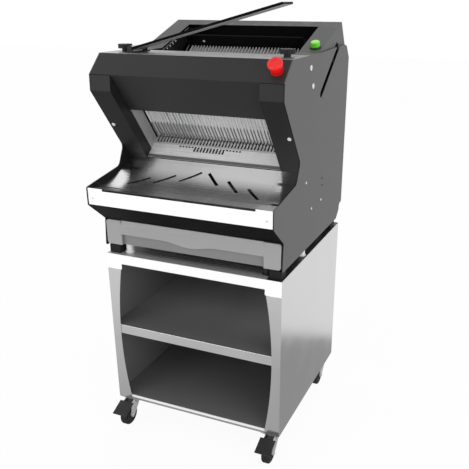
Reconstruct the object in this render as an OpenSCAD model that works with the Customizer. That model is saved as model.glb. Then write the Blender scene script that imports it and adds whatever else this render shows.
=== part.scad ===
// Table bread slicer with a loading hopper, standing on an open stainless stand with casters.
// Millimetres, +Z up, +X to the user's right, -Y towards the user.
// Machine outlines are written as [y, z]: y from the stand's front face, z from the machine's underside.

/* [Stand] */
// Width of the stand
stand_w = 600; // [560:10:680]
// Depth of the stand
stand_d = 580; // [570:5:620]
// Height of the stand above its casters
stand_h = 542; // [480:2:620]
// Thickness of the stand's sheet
stand_t = 2; // [1.5:0.5:3]
// Height of the top plate's skirt at the corners
skirt_h = 50; // [44:1:70]
// Height of the skirt over the opening
rail_h = 32; // [24:1:40]
// Width of the front flanges at the top and the bottom
flange_w = 53; // [46:1:70]
// How far the flange edges bow outwards at mid height
flange_bow = 24; // [10:1:30]
// Width of the turned-in rear and bottom edges
return_w = 64; // [60:1:80]
// Height of the middle shelf above the stand's bottom edge
shelf_z = 288; // [200:2:360]
// Height of the middle shelf's front lip
shelf_lip = 32; // [20:1:45]
// Height of the bottom shelf above the stand's bottom edge
floor_shelf_z = 16; // [14:1:30]

/* [Casters] */
// Height of a caster from the floor to the stand
caster_h = 100; // [96:1:112]
// Wheel diameter
wheel_d = 75; // [66:1:78]
// Wheel tread width
wheel_w = 24; // [18:1:26]
// Distance from the swivel axis to the axle
trail = 38; // [32:1:40]
// Side of the square caster plate
plate_side = 62; // [60:1:66]
// Thickness of the caster plate
plate_t = 3; // [2:0.5:4]
// Distance of the swivel axes from the stand's sides
caster_in_x = 34; // [33:1:44]
// Distance of the front swivel axes from the stand's front
caster_front_y = 34; // [33:1:50]
// Distance of the rear swivel axes from the stand's back
caster_rear_y = 40; // [37:1:60]
// Diameter of the swivel pin
king_d = 16; // [12:1:18]
// Diameter of the wheel's axle
axle_d = 10; // [8:0.5:12]
// Diameter of the swivel head
head_d = 48; // [40:1:50]
// Thickness of a fork arm
arm_t = 3; // [2:0.5:4]
// Width of a brake pedal
pedal_w = 52; // [40:1:60]
// Length of a brake pedal's sloping plate
pedal_l = 56; // [44:1:58]
// Thickness of a brake pedal
pedal_t = 4; // [3:0.5:6]
// Downward slope of a brake pedal
pedal_angle = 23; // [15:1:26]

/* [Machine casing] */
// Width over the side panels
machine_w = 600; // [580:5:640]
// Thickness of a side panel
side_t = 3; // [2:0.5:4]
// Thickness of the bent front and rear sheets
sheet_t = 2; // [1.5:0.5:3]
// Gap between the machine and the stand
foot_h = 27; // [20:1:40]
// Depth from the stand's front to the side panels' rear edge
rear_y = 600; // [590:5:620]
// How far the tray lip stands out in front of the stand
lip_out = 71; // [66:1:80]
// Height of the lip's lower edge
lip_low_z = 153; // [150:1:158]
// Height of the lip's upper edge
lip_top_z = 208; // [204:1:214]
// Height of the lower front panel's bottom edge
apron_z = 88; // [86:1:96]
// Height of the hood's flat top
hood_z = 580; // [576:1:600]
// Setback of the hood's top edge
hood_y = 52; // [46:1:60]
// How far the hood's crease stands out in front of the stand
crease_out = 6; // [2:1:10]
// Height of the hood's crease
crease_z = 526; // [520:1:530]
// Height of the brow where the posts turn back
brow_z = 480; // [474:1:488]
// Height of the rear top edge
rear_top_z = 657; // [650:1:670]
// Depth of the rear top edge
rear_top_y = 519; // [512:1:526]
// Rear edge of the hood's flat top
strip_rear_y = 200; // [190:1:210]
// Where the sloping cheeks start
cheek_y = 292; // [284:1:300]
// Width of the sloping cheeks
cheek_w = 70; // [64:1:72]
// How far the walls under the cheeks stand in from the side panels
head_in = 7; // [4:0.5:10]
// Front edge of the rear top cover
cover_y = 480; // [472:1:488]
// Radius of the rounded throat corners
throat_r = 22; // [10:1:28]

/* [Cutting line] */
// Slope of the loaf chute
cut_angle = 37.2; // [36:0.1:38]
// Where the blades pass the chute floor, from the stand's front
knife_y = 232; // [228:1:236]
// Height of that line
knife_z = 306; // [302:1:310]
// Distance of the loaf channel's walls from the side faces
channel_in = 70; // [68:1:72]
// Distance of the front posts' face from the blade line
post_u = 86; // [82:1:88]
// Distance of the window from the blade line
window_u = 50; // [46:1:54]
// Height of the window above the chute floor
window_v = 176; // [160:1:190]
// Spacing of the blades
blade_pitch = 11; // [9:0.5:14]
// Thickness of a blade
blade_t = 0.8; // [0.5:0.1:1.2]
// Width of a blade
blade_w = 7; // [6.5:0.5:9]
// Distance of each blade frame from the blade line
row_u = 8.5; // [8:0.5:10]
// Height of a frame bar
bar_v = 24; // [18:1:28]
// Width of a frame's side bar
bar_x = 16; // [12:1:18]
// Height of the blades' lower end below the chute floor
blade_low_v = 60; // [54:1:66]
// Height of the blades' upper end above the chute floor
blade_top_v = 262; // [250:1:264]
// Half stroke of the blade frames
stroke = 10; // [6:1:10]
// Diameter of the guide rods
rod_d = 12; // [10:1:12]
// Distance of the guide rods from the side faces
rod_in = 25; // [24:1:28]

/* [Pusher] */
// Length of the pusher's travel
push_travel = 210; // [150:5:220]
// Place of the cross rod behind the blade line at rest
push_u = 364; // [350:1:366]
// Height of the cross rod above the chute floor
push_v = 79; // [70:1:84]
// Diameter of the cross rod
push_rod_d = 12; // [8:1:12]
// Height of the pusher's fins
fin_v = 99; // [92:1:110]
// Length of the pusher's fins
fin_u = 110; // [60:1:110]
// Thickness of a fin
fin_t = 2; // [1:0.5:3]
// Height of the pusher's back plate
push_plate_v = 140; // [120:1:144]

/* [Tray and drawer] */
// Thickness of the tray sheet
tray_t = 2; // [1.5:0.5:3]
// Height of the tray's front edge
tray_z = 206; // [204:0.5:208]
// Width of the tray's slots
tray_slot_w = 9; // [3:0.5:10]
// Length of a slanting tray slot
tray_slot_l = 74; // [50:1:80]
// Thickness of the crumb drawer's front
drawer_front_t = 18; // [14:1:20]
// Depth of the crumb drawer's box
drawer_d = 278; // [200:2:284]
// Height of the crumb drawer's box
drawer_box_h = 58; // [40:1:64]
// Wall of the crumb drawer's box
drawer_t = 1.5; // [1:0.5:3]
// Width of the solid ends of the drawer front
drawer_end_w = 53; // [40:1:70]

/* [Drive] */
// Distance of the crank shaft below the chute floor
crank_v = 240; // [235:1:246]
// Diameter of the crank shaft
crank_d = 25; // [18:1:26]
// Radius of an eccentric disc
cam_r = 16; // [14:1:18]
// Distance of the eccentrics and rods from the centre line
cam_x = 150; // [140:1:160]
// Radius of the crank pulley
crank_pulley_r = 58; // [50:1:60]
// Radius of the motor pulley
motor_pulley_r = 29; // [24:1:32]
// Depth of the motor shaft
motor_y = 505; // [500:1:510]
// Height of the motor shaft
motor_z = 90; // [84:1:100]
// Diameter of the motor
motor_d = 120; // [100:2:130]
// Length of the motor
motor_l = 190; // [150:2:210]
// Distance of the belt from the centre line
belt_x = 100; // [90:1:110]
// Width of the belt
belt_w = 9; // [6:0.5:12]
// Thickness of the belt
belt_t = 3; // [2:0.5:4]

/* [Controls] */
// Diameter of the stop button's head
stop_d = 41; // [34:1:46]
// Height of the stop button's head
stop_head_h = 13; // [10:1:16]
// Distance of the stop button from the right side face
stop_in = 32; // [30:1:44]
// Travel of the stop button
stop_travel = 5; // [3:0.5:5]
// Diameter of the start button
start_d = 28; // [22:1:32]
// Height of the start button
start_h = 15; // [10:1:20]
// Distance of the start button from the right side face
start_in = 29; // [25:1:40]
// Depth of the start button
start_y = 326; // [312:1:350]
// Travel of the start button
start_travel = 4; // [2:0.5:4]
// Diameter of a clamp knob's cap
knob_d = 42; // [34:1:46]
// Height of a clamp knob's cap
knob_h = 12; // [8:1:16]
// Diameter of a clamp knob's stem
knob_stem_d = 20; // [14:1:24]
// Height of a clamp knob's stem
knob_stem_h = 9; // [6:1:12]
// Distance of the clamp knobs from the side faces
knob_in = 43; // [40:1:46]
// Depth of the clamp knobs
knob_y = 125; // [120:1:130]
// Length of the hold-down flap
flap_l = 487; // [440:1:490]
// Depth of the hold-down flap
flap_d = 76; // [60:1:90]
// Thickness of the hold-down flap
flap_t = 7; // [4:0.5:9]
// Distance of the flap's hinge from the left side face
flap_in = 85; // [84:1:90]
// Angle at which the flap stands open
flap_angle = 14.9; // [14:0.1:20]
// Diameter of the flap's hinge pin
flap_pin_d = 6; // [4:0.5:8]

/* [Hidden] */
$fn = 48;
arc_count = 8;
cut = 1;
run_fit = 0.05;
gap = 0.3;

// Overall places
machine_z = caster_h + stand_h + foot_h;
origin_y = -(rear_y - lip_out) / 2;
in_x = machine_w / 2 - side_t;
channel_x = machine_w / 2 - channel_in;
cheek_in_x = machine_w / 2 - cheek_w;

// Casing outline
steel = "silver";
black = "#2e2e2e";
grey = "#707070";
lip_y = -lip_out;
crease_y = -crease_out;
face_slope = [sin(cut_angle), -cos(cut_angle)];
knife = [knife_y, knife_z];
feed_back = [cos(cut_angle), sin(cut_angle)];
post_low = knife - post_u * feed_back;
brow = post_low + (brow_z - post_low[1]) / face_slope[1] * face_slope;
throat_v = 48;
throat = post_low - throat_v * face_slope;
throat_in = 30;
throat_drop = 58;
front_low_y = 1;
apron_y = 8;
rear_chamfer_y = 56;
rear_chamfer_z = 49;
rear_slope_h = 74;
shoulder_in = 32;
shoulder_drop = 37;
rear_top = [rear_top_y, rear_top_z];
shoulder = [rear_y - shoulder_in, rear_top_z - rear_slope_h];
panel_top_d = 22;
panel_rise = 9;
panel_top = [rear_top_y + panel_top_d, hood_z + panel_rise];
head_x = machine_w / 2 - head_in;
head_in_x = head_x - side_t;
head_low_share = 0.93;
head_low = rear_top + head_low_share * (shoulder - rear_top);
ledge_gap = 12;
ledge_rear_y = shoulder[0] - ledge_gap;
rear_notch_r = 18;
rear_notch_l = 20;
rear_inset = 10;
window_top = knife - window_u * feed_back - window_v * face_slope;
window_low = knife - window_u * feed_back;
outline_r = 6;
window_lip = 20;
strip_drop = 24;
rear_low_y = 52;
cover_low = [rear_y - rear_low_y, rear_chamfer_z - (rear_low_y - rear_inset) * rear_chamfer_z / rear_chamfer_y];

// Stand places
stand_z = caster_h;
stand_top_z = caster_h + stand_h;
opening_top_z = stand_h - rail_h;
bow_chord = opening_top_z;
bow_r = bow_chord * bow_chord / (8 * flange_bow) + flange_bow / 2;
lip_gap = 1;

// Caster places
caster_x = stand_w / 2 - caster_in_x;
caster_y_rear = stand_d - caster_rear_y;
axle_z = wheel_d / 2;
plate_low_z = caster_h - plate_t;
head_h = 8;
wheel_gap = 3;
arm_in = wheel_w / 2 + wheel_gap;
hub_w = 2 * (arm_in - gap);
hub_d = 24;
bolt_d = 6;
bolt_head_h = 4;
bolt_head_d = 10;
bolt_nut_h = 5;
bolt_in = 8;
pedal_pin_d = 8;
pedal_pin_y = 14;
pedal_rise = 6;
pedal_over = 4;
pedal_reach = trail - pedal_pin_y + pedal_over;
arm_drop = 16;
arm_lead = 2;
arm_r = 12;
pedal_z = plate_low_z - gap - arm_drop;
pedal_rib_w = 2;
pedal_rib_count = 3;
pedal_rib_step = 7;
tread_r = 5;
arm_head_share = 0.75;
arm_foot_share = 0.34;

// Cutting line places
bar_low_v = blade_low_v + bar_v;
bar_top_v = blade_top_v + bar_v;
bar_gap = 6;
blade_clear = 0.5;
blade_u = blade_clear - bar_gap / 2 + blade_w / 2;
lug_gap = 1;
bar_out = 28;
bar_u = 2 * row_u - bar_gap;
bar_half = channel_x + bar_out;
rod_x = machine_w / 2 - rod_in;
blade_margin = 8;
blade_half_count = floor((channel_x - blade_margin) / blade_pitch);
fin_margin = 30;
fin_half_count = floor((channel_x - fin_margin) / blade_pitch);
fin_plate_x = (fin_half_count + 1 / 2) * blade_pitch;
push_gap = 0.6;
push_back = 36;
push_plate_t = 4;
push_lug_w = 12;
push_lug_r = 12;
lug_v = 30;
lug_u = 2 * row_u - lug_gap;
lug_out = 12;
lug_low_v = -20;
lug_top_v = 210;
block_t = 12;
block_u = 36;
block_in = 13;
rod_end = 6;
rod_low_v = bar_low_v + stroke + rod_end;
rod_top_v = bar_top_v + stroke + rod_end;
comb_room = 12.5;
comb_rim = 7;
comb_slot_u = 2 * (blade_u + blade_w / 2 + comb_room);
comb_u = comb_slot_u + 2 * comb_rim;
comb_v = 8;
comb_slot_x = 5;
crumb_slot_x = 6.5;
wall_t = 2;
crumb_left_count = 12;
crumb_right_count = 7;
crumb_long_left_count = 7;
crumb_long_right_count = 2;
crumb_bar = 2;
crumb_u = 32;
crumb_long_u = 46;
exit_wall_gap = 2.5;
exit_wall_rear = 3;
chute_wall_u = 9;
chute_l = 395;
chute_front_v = 184;
chute_rear_v = 112;
chute_bend_u = 184;
slot_room = 4;
tab_u = 34;
rear_tab_u = 16;

// Drive places
cam_gap = 1;
ring_in_r = cam_r + 2 * stroke + cam_gap;
ring_w = 8;
rod_t = 14;
pedestal_t = 22;
pedestal_w = 50;
pedestal_cap = 26;
crank_end_in = 35;
crank_end_x = in_x - crank_end_in;
crank_at = knife + crank_v * face_slope;
pulley_w = 15;
pulley_rim = 4;
flange_t = 2;
motor_shaft_d = 18;
motor_shaft_in = 30;
motor_foot_l = 110;
motor_foot_w = 74;
motor_foot_h = 40;
belt_count = 40;
motor_gap = 60;
motor_x = belt_x - motor_gap;

// Tray, drawer and feet places
tray_run = post_low[0] - lip_y;
tray_face_in = 2;
tray_dip_share = 0.15;
tray_rise = (post_low[1] - tray_z + tray_dip_share * tray_run) / (tray_run * tray_run);
tray_count = 16;
tray_rear_gap = 4;
slant_x_share = 0.64;
slant_x = in_x * slant_x_share;
slant_y = 46;
slant_dx_share = 0.256;
slant_dx = in_x * slant_dx_share;
slant_dy = 26;
slant_count = 3;
slant_angle = 46;
long_slot_end = 51;
long_slot_l = 2 * (in_x - long_slot_end);
long_slot_w = 3.5;
long_slot_drop = 3;
drawer_side_gap = 3;
drawer_x = in_x - drawer_side_gap;
drawer_y = 4;
drawer_z = 6;
drawer_gap = 2;
drawer_h = apron_z - drawer_z - drawer_gap;
box_lift = 3;
drawer_r = 9;
drawer_lean = 5;
drawer_lean_h = 16;
grip_in = 11;
grip_wave = 12;
grip_wave_w = 90;
grip_count = 24;
grip_edge_z = 36;
box_in = 12;
box_x = drawer_x - box_in;
runner_w = 14;
pan_t = 3;
pan_gap = 8;
pan_front_y = drawer_y + drawer_front_t + pan_gap;
foot_side = 39;
foot_in_x = 3;
foot_y = 12;
level_d = 24;
level_rim = 3;
level_in = 62;
level_mid_in = 20;
level_front_y = 42;
level_mid_y = 225;
level_rear_in = 120;
level_places = [[machine_w / 2 - level_in, level_front_y], [machine_w / 2 - level_mid_in, level_mid_y],
  [machine_w / 2 - level_in, rear_y - level_rear_in]];

// Control places
hood_slope = atan2(hood_z - crease_z, hood_y - crease_y);
stop_s_share = 0.5;
stop_at = [hood_y, hood_z] + stop_s_share * [crease_y - hood_y, crease_z - hood_z];
stop_x = machine_w / 2 - stop_in;
start_x = machine_w / 2 - start_in;
knob_x = machine_w / 2 - knob_in;
flap_x = machine_w / 2 - flap_in;
stop_stem_d = 26;
stop_rest = 1.3;
stop_neck = 10;
stop_ring_h = 6;
stop_ring_w = 4;
cheek_slope = atan2(rear_top_z - hood_z, rear_top_y - cheek_y);
cover_front = [cover_y, hood_z + (cover_y - cheek_y) * tan(cheek_slope)];
start_z = hood_z + (start_y - cheek_y) * tan(cheek_slope);
start_rest = 0.7;
start_ring_h = 5;
start_ring_w = 3;
knob_groove_count = 12;
knob_groove_d = 4;
knob_groove_at = 1.2;
hinge_up = 12;
hinge_z = hood_z + hinge_up;
hinge_base_t = 3;
hinge_base_x = 17;
hinge_ear_t = 5;
hinge_ear_r = 8;
flap_knuckle_r = 7;
flap_drop = 5;
flap_edge_r = 2.5;

// Rear panel and inlet places
vent_w = 70;
vent_h = 5;
vent_step = 12;
vent_count = 7;
vent_x = 150;
vent_z = 120;
inlet_in_x = 80;
inlet_x = machine_w / 2 - inlet_in_x;
inlet_z = 110;
inlet_w = 50;
inlet_h = 32;
inlet_lip = 5;
inlet_wall = 3;
inlet_t = 2;
inlet_d = 24;
inlet_pin_d = 4;
inlet_pin_step = 8;
box_w = 100;
box_d = 110;
box_h = 120;
box_z = 190;

// Screw places on the side panels, as shares of the depth and of the hood's height
big_screw_shares = [[0.333, 0.943], [0.373, 0.853]];
small_screw_shares = [[0.315, 0.378], [0.575, 0.216], [0.413, 0.212]];
side_hole_shares = [[0.585, 0.336], [0.592, 0.295]];
big_screw_r = 8;
small_screw_r = 4;
side_hole_r = 4;
screw_h = 2.5;
post_screw_s = 138;
post_screw_in = 11;
post_screw_r = 6;
lip_screw_in = 18;
lip_screw_z = 176;
lip_screw_r = 4;
lip_screw_h = 1.5;

// Vector helpers
function unit(v) = v / norm(v);
function left_of(v) = [-v[1], v[0]];
function run_normal(path, i) = left_of(unit(path[i + 1] - path[i]));
function corner_normal(path, i) =
  i == 0 ? run_normal(path, 0)
  : i == len(path) - 1 ? run_normal(path, i - 1)
  : (run_normal(path, i - 1) + run_normal(path, i)) / (1 + run_normal(path, i - 1) * run_normal(path, i));
function offset_path(path, t) = [for (i = [0 : len(path) - 1]) path[i] + t * corner_normal(path, i)];
function reversed(list) = [for (i = [len(list) - 1 : -1 : 0]) list[i]];
function arc_corner(a, b, c, r) =
  let (p = unit(a - b), q = unit(c - b), half = acos(p * q) / 2)
  let (centre = b + unit(p + q) * r / sin(half))
  let (first = b + p * r / tan(half) - centre, last = b + q * r / tan(half) - centre)
  let (start = atan2(first[1], first[0]), sweep = atan2(last[1], last[0]) - start)
  let (turn = sweep > 180 ? sweep - 360 : sweep < -180 ? sweep + 360 : sweep)
  [for (k = [0 : arc_count])
    let (at = start + turn * k / arc_count) centre + r * [cos(at), sin(at)]];
function rounded(points, radii) = [for (i = [0 : len(points) - 1])
  let (before = points[(i + len(points) - 1) % len(points)], after = points[(i + 1) % len(points)])
  each radii[i] == 0 ? [points[i]] : arc_corner(before, points[i], after, radii[i])];

// Shape helpers
module sheet(path, t) polygon(concat(path, reversed(offset_path(path, t))));
module along_x(x0, x1) translate([x0, 0, 0]) rotate([90, 0, 90]) linear_extrude(x1 - x0) children();
module across(half) along_x(-half, half) children();
module sides() for (s = [0, 1]) mirror([s, 0, 0]) children();
module box(low, high) translate(low) cube(high - low);
module on_stand() translate([0, origin_y, 0]) children();
module on_machine() translate([0, origin_y, machine_z]) children();
module in_chute() on_machine() translate([0, knife_y, knife_z]) rotate([cut_angle, 0, 0]) children();
module rod_along_x(r, x0, x1) translate([x0, 0, 0]) rotate([0, 90, 0]) cylinder(r = r, h = x1 - x0);
module ring(r_out, r_in, h) difference() {
  cylinder(r = r_out, h = h);
  translate([0, 0, -cut]) cylinder(r = r_in, h = h + 2 * cut);
}

// Stand
module flange_opening() {
  intersection_for (s = [-1, 1])
    translate([s * (bow_r - (stand_w / 2 - flange_w + flange_bow)), opening_top_z / 2])
      circle(r = bow_r, $fn = 360);
}

module stand_side() {
  on_stand() translate([0, 0, stand_z]) {
    difference() {
      box([stand_w / 2 - stand_t, 0, 0], [stand_w / 2, stand_d, stand_h - stand_t]);
      box([0, -cut, stand_h - skirt_h], [stand_w, stand_t, stand_h]);
    }
    translate([0, stand_t, 0]) rotate([90, 0, 0]) linear_extrude(stand_t) difference() {
      square([stand_w / 2, stand_h - skirt_h]);
      flange_opening();
    }
    box([stand_w / 2 - return_w, stand_d - stand_t, 0], [stand_w / 2, stand_d, stand_h - stand_t]);
    difference() {
      box([stand_w / 2 - return_w, 2 * stand_t + lip_gap, 0], [stand_w / 2, stand_d, stand_t]);
      translate([0, 0, -stand_z]) for (y = [caster_front_y, caster_y_rear])
        translate([caster_x, y, 0]) bolt_places() cylinder(d = bolt_d + gap, h = stand_top_z);
    }
  }
}

module stand_side_left() color(steel) mirror([1, 0, 0]) stand_side();
module stand_side_right() color(steel) stand_side();

module stand_top_plate() color(steel) on_stand() translate([0, 0, stand_z]) {
  box([-stand_w / 2, 0, stand_h - stand_t], [stand_w / 2, stand_d, stand_h]);
  difference() {
    box([-stand_w / 2, 0, stand_h - skirt_h], [stand_w / 2, stand_t, stand_h]);
    box([-stand_w / 2 + flange_w, -cut, 0], [stand_w / 2 - flange_w, stand_t + cut, opening_top_z]);
  }
}

module stand_back_panel() color("dimgray") on_stand() translate([0, 0, stand_z])
  box([-stand_w / 2 + stand_t, stand_d - 2 * stand_t, stand_t],
    [stand_w / 2 - stand_t, stand_d - stand_t, stand_h - stand_t]);

module shelf(top_z, lip_h) on_stand() translate([0, 0, stand_z]) {
  box([-stand_w / 2 + stand_t, stand_t, top_z - stand_t],
    [stand_w / 2 - stand_t, stand_d - 2 * stand_t, top_z]);
  box([-stand_w / 2 + stand_t, stand_t, top_z - lip_h], [stand_w / 2 - stand_t, 2 * stand_t, top_z]);
}

module middle_shelf() color(steel) shelf(shelf_z, shelf_lip);
module bottom_shelf() color(steel) shelf(floor_shelf_z, floor_shelf_z);

// Casters
module bolt_places() for (sx = [-1, 1], sy = [-1, 1])
  translate([sx, sy, 0] * (plate_side / 2 - bolt_in)) children();
module caster_places() for (sx = [-1, 1], y = [caster_front_y, caster_y_rear])
  translate([sx * caster_x, y, 0]) children();

module caster_plates() color(steel) on_stand() caster_places() difference() {
  translate([-plate_side / 2, -plate_side / 2, plate_low_z]) cube([plate_side, plate_side, plate_t]);
  cylinder(d = king_d + 2 * run_fit, h = caster_h + cut);
  bolt_places() cylinder(d = bolt_d + gap, h = caster_h + cut);
}

module caster_bolts() color("gray") on_stand() caster_places() bolt_places() {
  translate([0, 0, plate_low_z - bolt_head_h]) cylinder(d = bolt_head_d, h = bolt_head_h, $fn = 6);
  translate([0, 0, plate_low_z - bolt_head_h])
    cylinder(d = bolt_d, h = bolt_head_h + plate_t + stand_t + bolt_nut_h);
  translate([0, 0, caster_h + stand_t]) cylinder(d = bolt_head_d, h = bolt_nut_h, $fn = 6);
}

// One swivelling fork, with its axle riveted in
module caster_fork(sx, y) color("lightgray") on_stand() translate([sx * caster_x, y, 0]) {
  translate([0, 0, plate_low_z - gap - head_h]) cylinder(d = head_d, h = head_h);
  translate([0, 0, plate_low_z - gap - head_h]) cylinder(d = king_d, h = head_h + gap + plate_t - gap);
  for (s = [-1, 1]) difference() {
    along_x(s * (arm_in + arm_t / 2) - arm_t / 2, s * (arm_in + arm_t / 2) + arm_t / 2)
      polygon(rounded([
        [arm_head_share * head_d / 2, plate_low_z - gap],
        [arm_head_share * head_d / 2, pedal_z],
        [-trail + arm_foot_share * hub_d, axle_z - arm_foot_share * hub_d],
        [-trail, axle_z - hub_d / 2],
        [-trail - hub_d / 2, axle_z],
        [-trail - arm_lead, pedal_z],
        [-arm_head_share * head_d / 2, plate_low_z - gap]], [0, arm_r, 0, arm_r / 2, arm_r / 2, 0, 0]));
    translate([0, -pedal_pin_y, pedal_z])
      rod_along_x(pedal_pin_d / 2 + run_fit, -arm_in - 2 * arm_t, arm_in + 2 * arm_t);
  }
  translate([0, -trail, axle_z]) rod_along_x(axle_d / 2, -arm_in - 2 * arm_t, arm_in + 2 * arm_t);
}

module caster_fork_fl() caster_fork(-1, caster_front_y);
module caster_fork_fr() caster_fork(1, caster_front_y);
module caster_fork_rl() caster_fork(-1, caster_y_rear);
module caster_fork_rr() caster_fork(1, caster_y_rear);

module caster_wheel(sx, y) color(black) on_stand() translate([sx * caster_x, y - trail, axle_z])
  rotate([0, 90, 0]) difference() {
    union() {
      rotate_extrude() polygon(rounded([[0, -wheel_w / 2], [wheel_d / 2, -wheel_w / 2],
        [wheel_d / 2, wheel_w / 2], [0, wheel_w / 2]], [0, tread_r, tread_r, 0]));
      cylinder(d = hub_d, h = hub_w, center = true);
    }
    cylinder(d = axle_d + 2 * run_fit, h = hub_w + 2 * cut, center = true);
  }

module caster_wheel_fl() caster_wheel(-1, caster_front_y);
module caster_wheel_fr() caster_wheel(1, caster_front_y);
module caster_wheel_rl() caster_wheel(-1, caster_y_rear);
module caster_wheel_rr() caster_wheel(1, caster_y_rear);

// A pedal turns on a pin between the fork's arms
module brake_pedal(sx) color(black) on_stand()
  translate([sx * caster_x, caster_front_y - pedal_pin_y, pedal_z]) {
  rod_along_x(pedal_pin_d / 2, -arm_in - arm_t, arm_in + arm_t);
  across(arm_in - gap) sheet([[0, 0], [-pedal_reach, pedal_rise]], -pedal_t);
  translate([0, -pedal_reach, pedal_rise]) rotate([pedal_angle, 0, 0]) difference() {
    box([-pedal_w / 2, -pedal_l, 0], [pedal_w / 2, 0, pedal_t]);
    for (k = [1 : pedal_rib_count]) translate([0, k * pedal_rib_step - pedal_l, pedal_t])
      rod_along_x(pedal_rib_w / 2, -pedal_w / 2 - cut, pedal_w / 2 + cut);
  }
}

module brake_pedal_left() brake_pedal(-1);
module brake_pedal_right() brake_pedal(1);

// Machine base
module base_pan() color(black) on_machine() {
  box([-in_x, pan_front_y, 0], [in_x, rear_y - rear_chamfer_y, pan_t]);
  box([-in_x, pan_front_y, 0], [in_x, pan_front_y + pan_t, drawer_z]);
  sides() box([box_x - runner_w, pan_front_y, 0],
    [box_x, drawer_y + drawer_front_t + drawer_d, drawer_z + box_lift - gap]);
}

module machine_feet() color(black) on_machine() sides()
  for (y = [foot_y, rear_y - rear_chamfer_y - foot_side])
    box([in_x - foot_in_x - foot_side, y, -foot_h], [in_x - foot_in_x, y + foot_side, 0]);

module levelling_feet() color("whitesmoke") on_machine() sides() for (p = level_places)
  translate([p[0], p[1], -foot_h]) {
    cylinder(d = level_d, h = foot_h);
    cylinder(d = level_d + 2 * level_rim, h = level_rim);
  }

// Casing
module casing_outline() polygon(rounded([
    [hood_y, hood_z], [cheek_y, hood_z], panel_top, shoulder,
    [rear_y, shoulder[1] - shoulder_drop], [rear_y, rear_chamfer_z], [rear_y - rear_chamfer_y, 0],
    [front_low_y, 0], [apron_y, apron_z], [lip_y, lip_low_z], [lip_y, lip_top_z],
    [throat[0] - throat_in, throat[1] - throat_drop], throat, brow, [crease_y, crease_z]],
  [0, 0, 0, outline_r, outline_r, 0, 0, outline_r, 0, outline_r, outline_r, throat_r, throat_r, outline_r,
    outline_r]));

// The slot that the pusher's rod runs in, cut outwards from x0
module push_slot(x0) {
  r = push_rod_d / 2 + slot_room;
  box([x0, push_u - push_travel, push_v - r], [machine_w, push_u, push_v + r]);
  for (u = [push_u - push_travel, push_u]) translate([0, u, push_v]) rod_along_x(r, x0, machine_w);
}

// Round notch in a rear corner, a grip for lifting the machine
module rear_notch() translate([0, rear_y - rear_notch_r / 2, rear_chamfer_z - rear_notch_r])
  rod_along_x(rear_notch_r, in_x - rear_notch_l, machine_w);

module side_panel() on_machine() difference() {
  union() {
    along_x(in_x, machine_w / 2) casing_outline();
    box([head_in_x, strip_rear_y, hood_z - side_t], [machine_w / 2 - side_t / 2, ledge_rear_y, hood_z]);
    along_x(head_in_x, head_x) polygon([[cheek_y, hood_z - side_t], [cheek_y, hood_z], rear_top, head_low,
      [ledge_rear_y, hood_z], [ledge_rear_y, hood_z - side_t]]);
    along_x(cheek_in_x, head_x - side_t / 2)
      sheet([[strip_rear_y, hood_z], [cheek_y, hood_z], cover_front], -side_t);
  }
  translate([0, knife_y, knife_z]) rotate([cut_angle, 0, 0]) push_slot(channel_x);
  rear_notch();
  for (at = side_hole_shares) translate([0, at[0] * rear_y, at[1] * hood_z])
    rod_along_x(side_hole_r, channel_x, machine_w);
}

module side_panel_left() color(grey) mirror([1, 0, 0]) side_panel();
module side_panel_right() color(grey) side_panel();

module hood_front() color(black) on_machine() {
  across(in_x) sheet([[hood_y, hood_z], [crease_y, crease_z]], sheet_t);
  across(channel_x) sheet([[hood_y, hood_z], [crease_y, crease_z], window_top,
    window_top + window_lip * feed_back], sheet_t);
}

module hood_top_strip() color(steel) on_machine() across(in_x)
  sheet([[hood_y + sheet_t, hood_z], [strip_rear_y, hood_z], [strip_rear_y, hood_z - strip_drop]], -sheet_t);

// A front post: its slanting face and the wall that lines the window recess
module post() on_machine() {
  along_x(channel_x, in_x) sheet([[crease_y, crease_z - sheet_t], brow, post_low], sheet_t);
  along_x(channel_x, channel_x + wall_t)
    polygon([[crease_y, crease_z - sheet_t], brow, post_low, window_low, window_top]);
}

module post_left() color(black) mirror([1, 0, 0]) post();
module post_right() color(black) post();

// Rear panel and rear top cover, bent from one sheet
module rear_cover() color(grey) on_machine() difference() {
  union() {
    across(head_in_x) sheet([cover_front, rear_top, shoulder], -sheet_t);
    across(in_x) sheet([shoulder, [rear_y - rear_inset, shoulder[1] - shoulder_drop],
      [rear_y - rear_inset, rear_chamfer_z], cover_low], -sheet_t);
  }
  sides() rear_notch();
  for (k = [0 : vent_count - 1], s = [-1, 1])
    box([s * vent_x - vent_w / 2, cover_low[0], vent_z + k * vent_step],
      [s * vent_x + vent_w / 2, rear_y, vent_z + k * vent_step + vent_h]);
  box([inlet_x - inlet_w / 2 + inlet_lip, cover_low[0], inlet_z - inlet_h / 2 + inlet_lip],
    [inlet_x + inlet_w / 2 - inlet_lip, rear_y, inlet_z + inlet_h / 2 - inlet_lip]);
}

// Inlet socket for a mains lead, set in the rear panel
module power_inlet() color(black) on_machine() translate([inlet_x, rear_y - rear_inset, inlet_z]) {
  body_x = inlet_w / 2 - inlet_lip;
  body_z = inlet_h / 2 - inlet_lip;
  difference() {
    union() {
      box([-inlet_w / 2, 0, -inlet_h / 2], [inlet_w / 2, inlet_t, inlet_h / 2]);
      box([-body_x, -inlet_d, -body_z], [body_x, inlet_t, body_z]);
    }
    box([-body_x + inlet_wall, -inlet_d + inlet_wall, -body_z + inlet_wall],
      [body_x - inlet_wall, inlet_t + cut, body_z - inlet_wall]);
  }
  for (k = [-1 : 1]) translate([k * inlet_pin_step, -inlet_wall, 0]) rotate([90, 0, 0])
    cylinder(d = inlet_pin_d, h = inlet_d - inlet_wall);
}

module control_box() color("slategray") on_machine()
  box([in_x - box_w, motor_y - box_d / 2, box_z], [in_x, motor_y + box_d / 2, box_z + box_h]);

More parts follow.
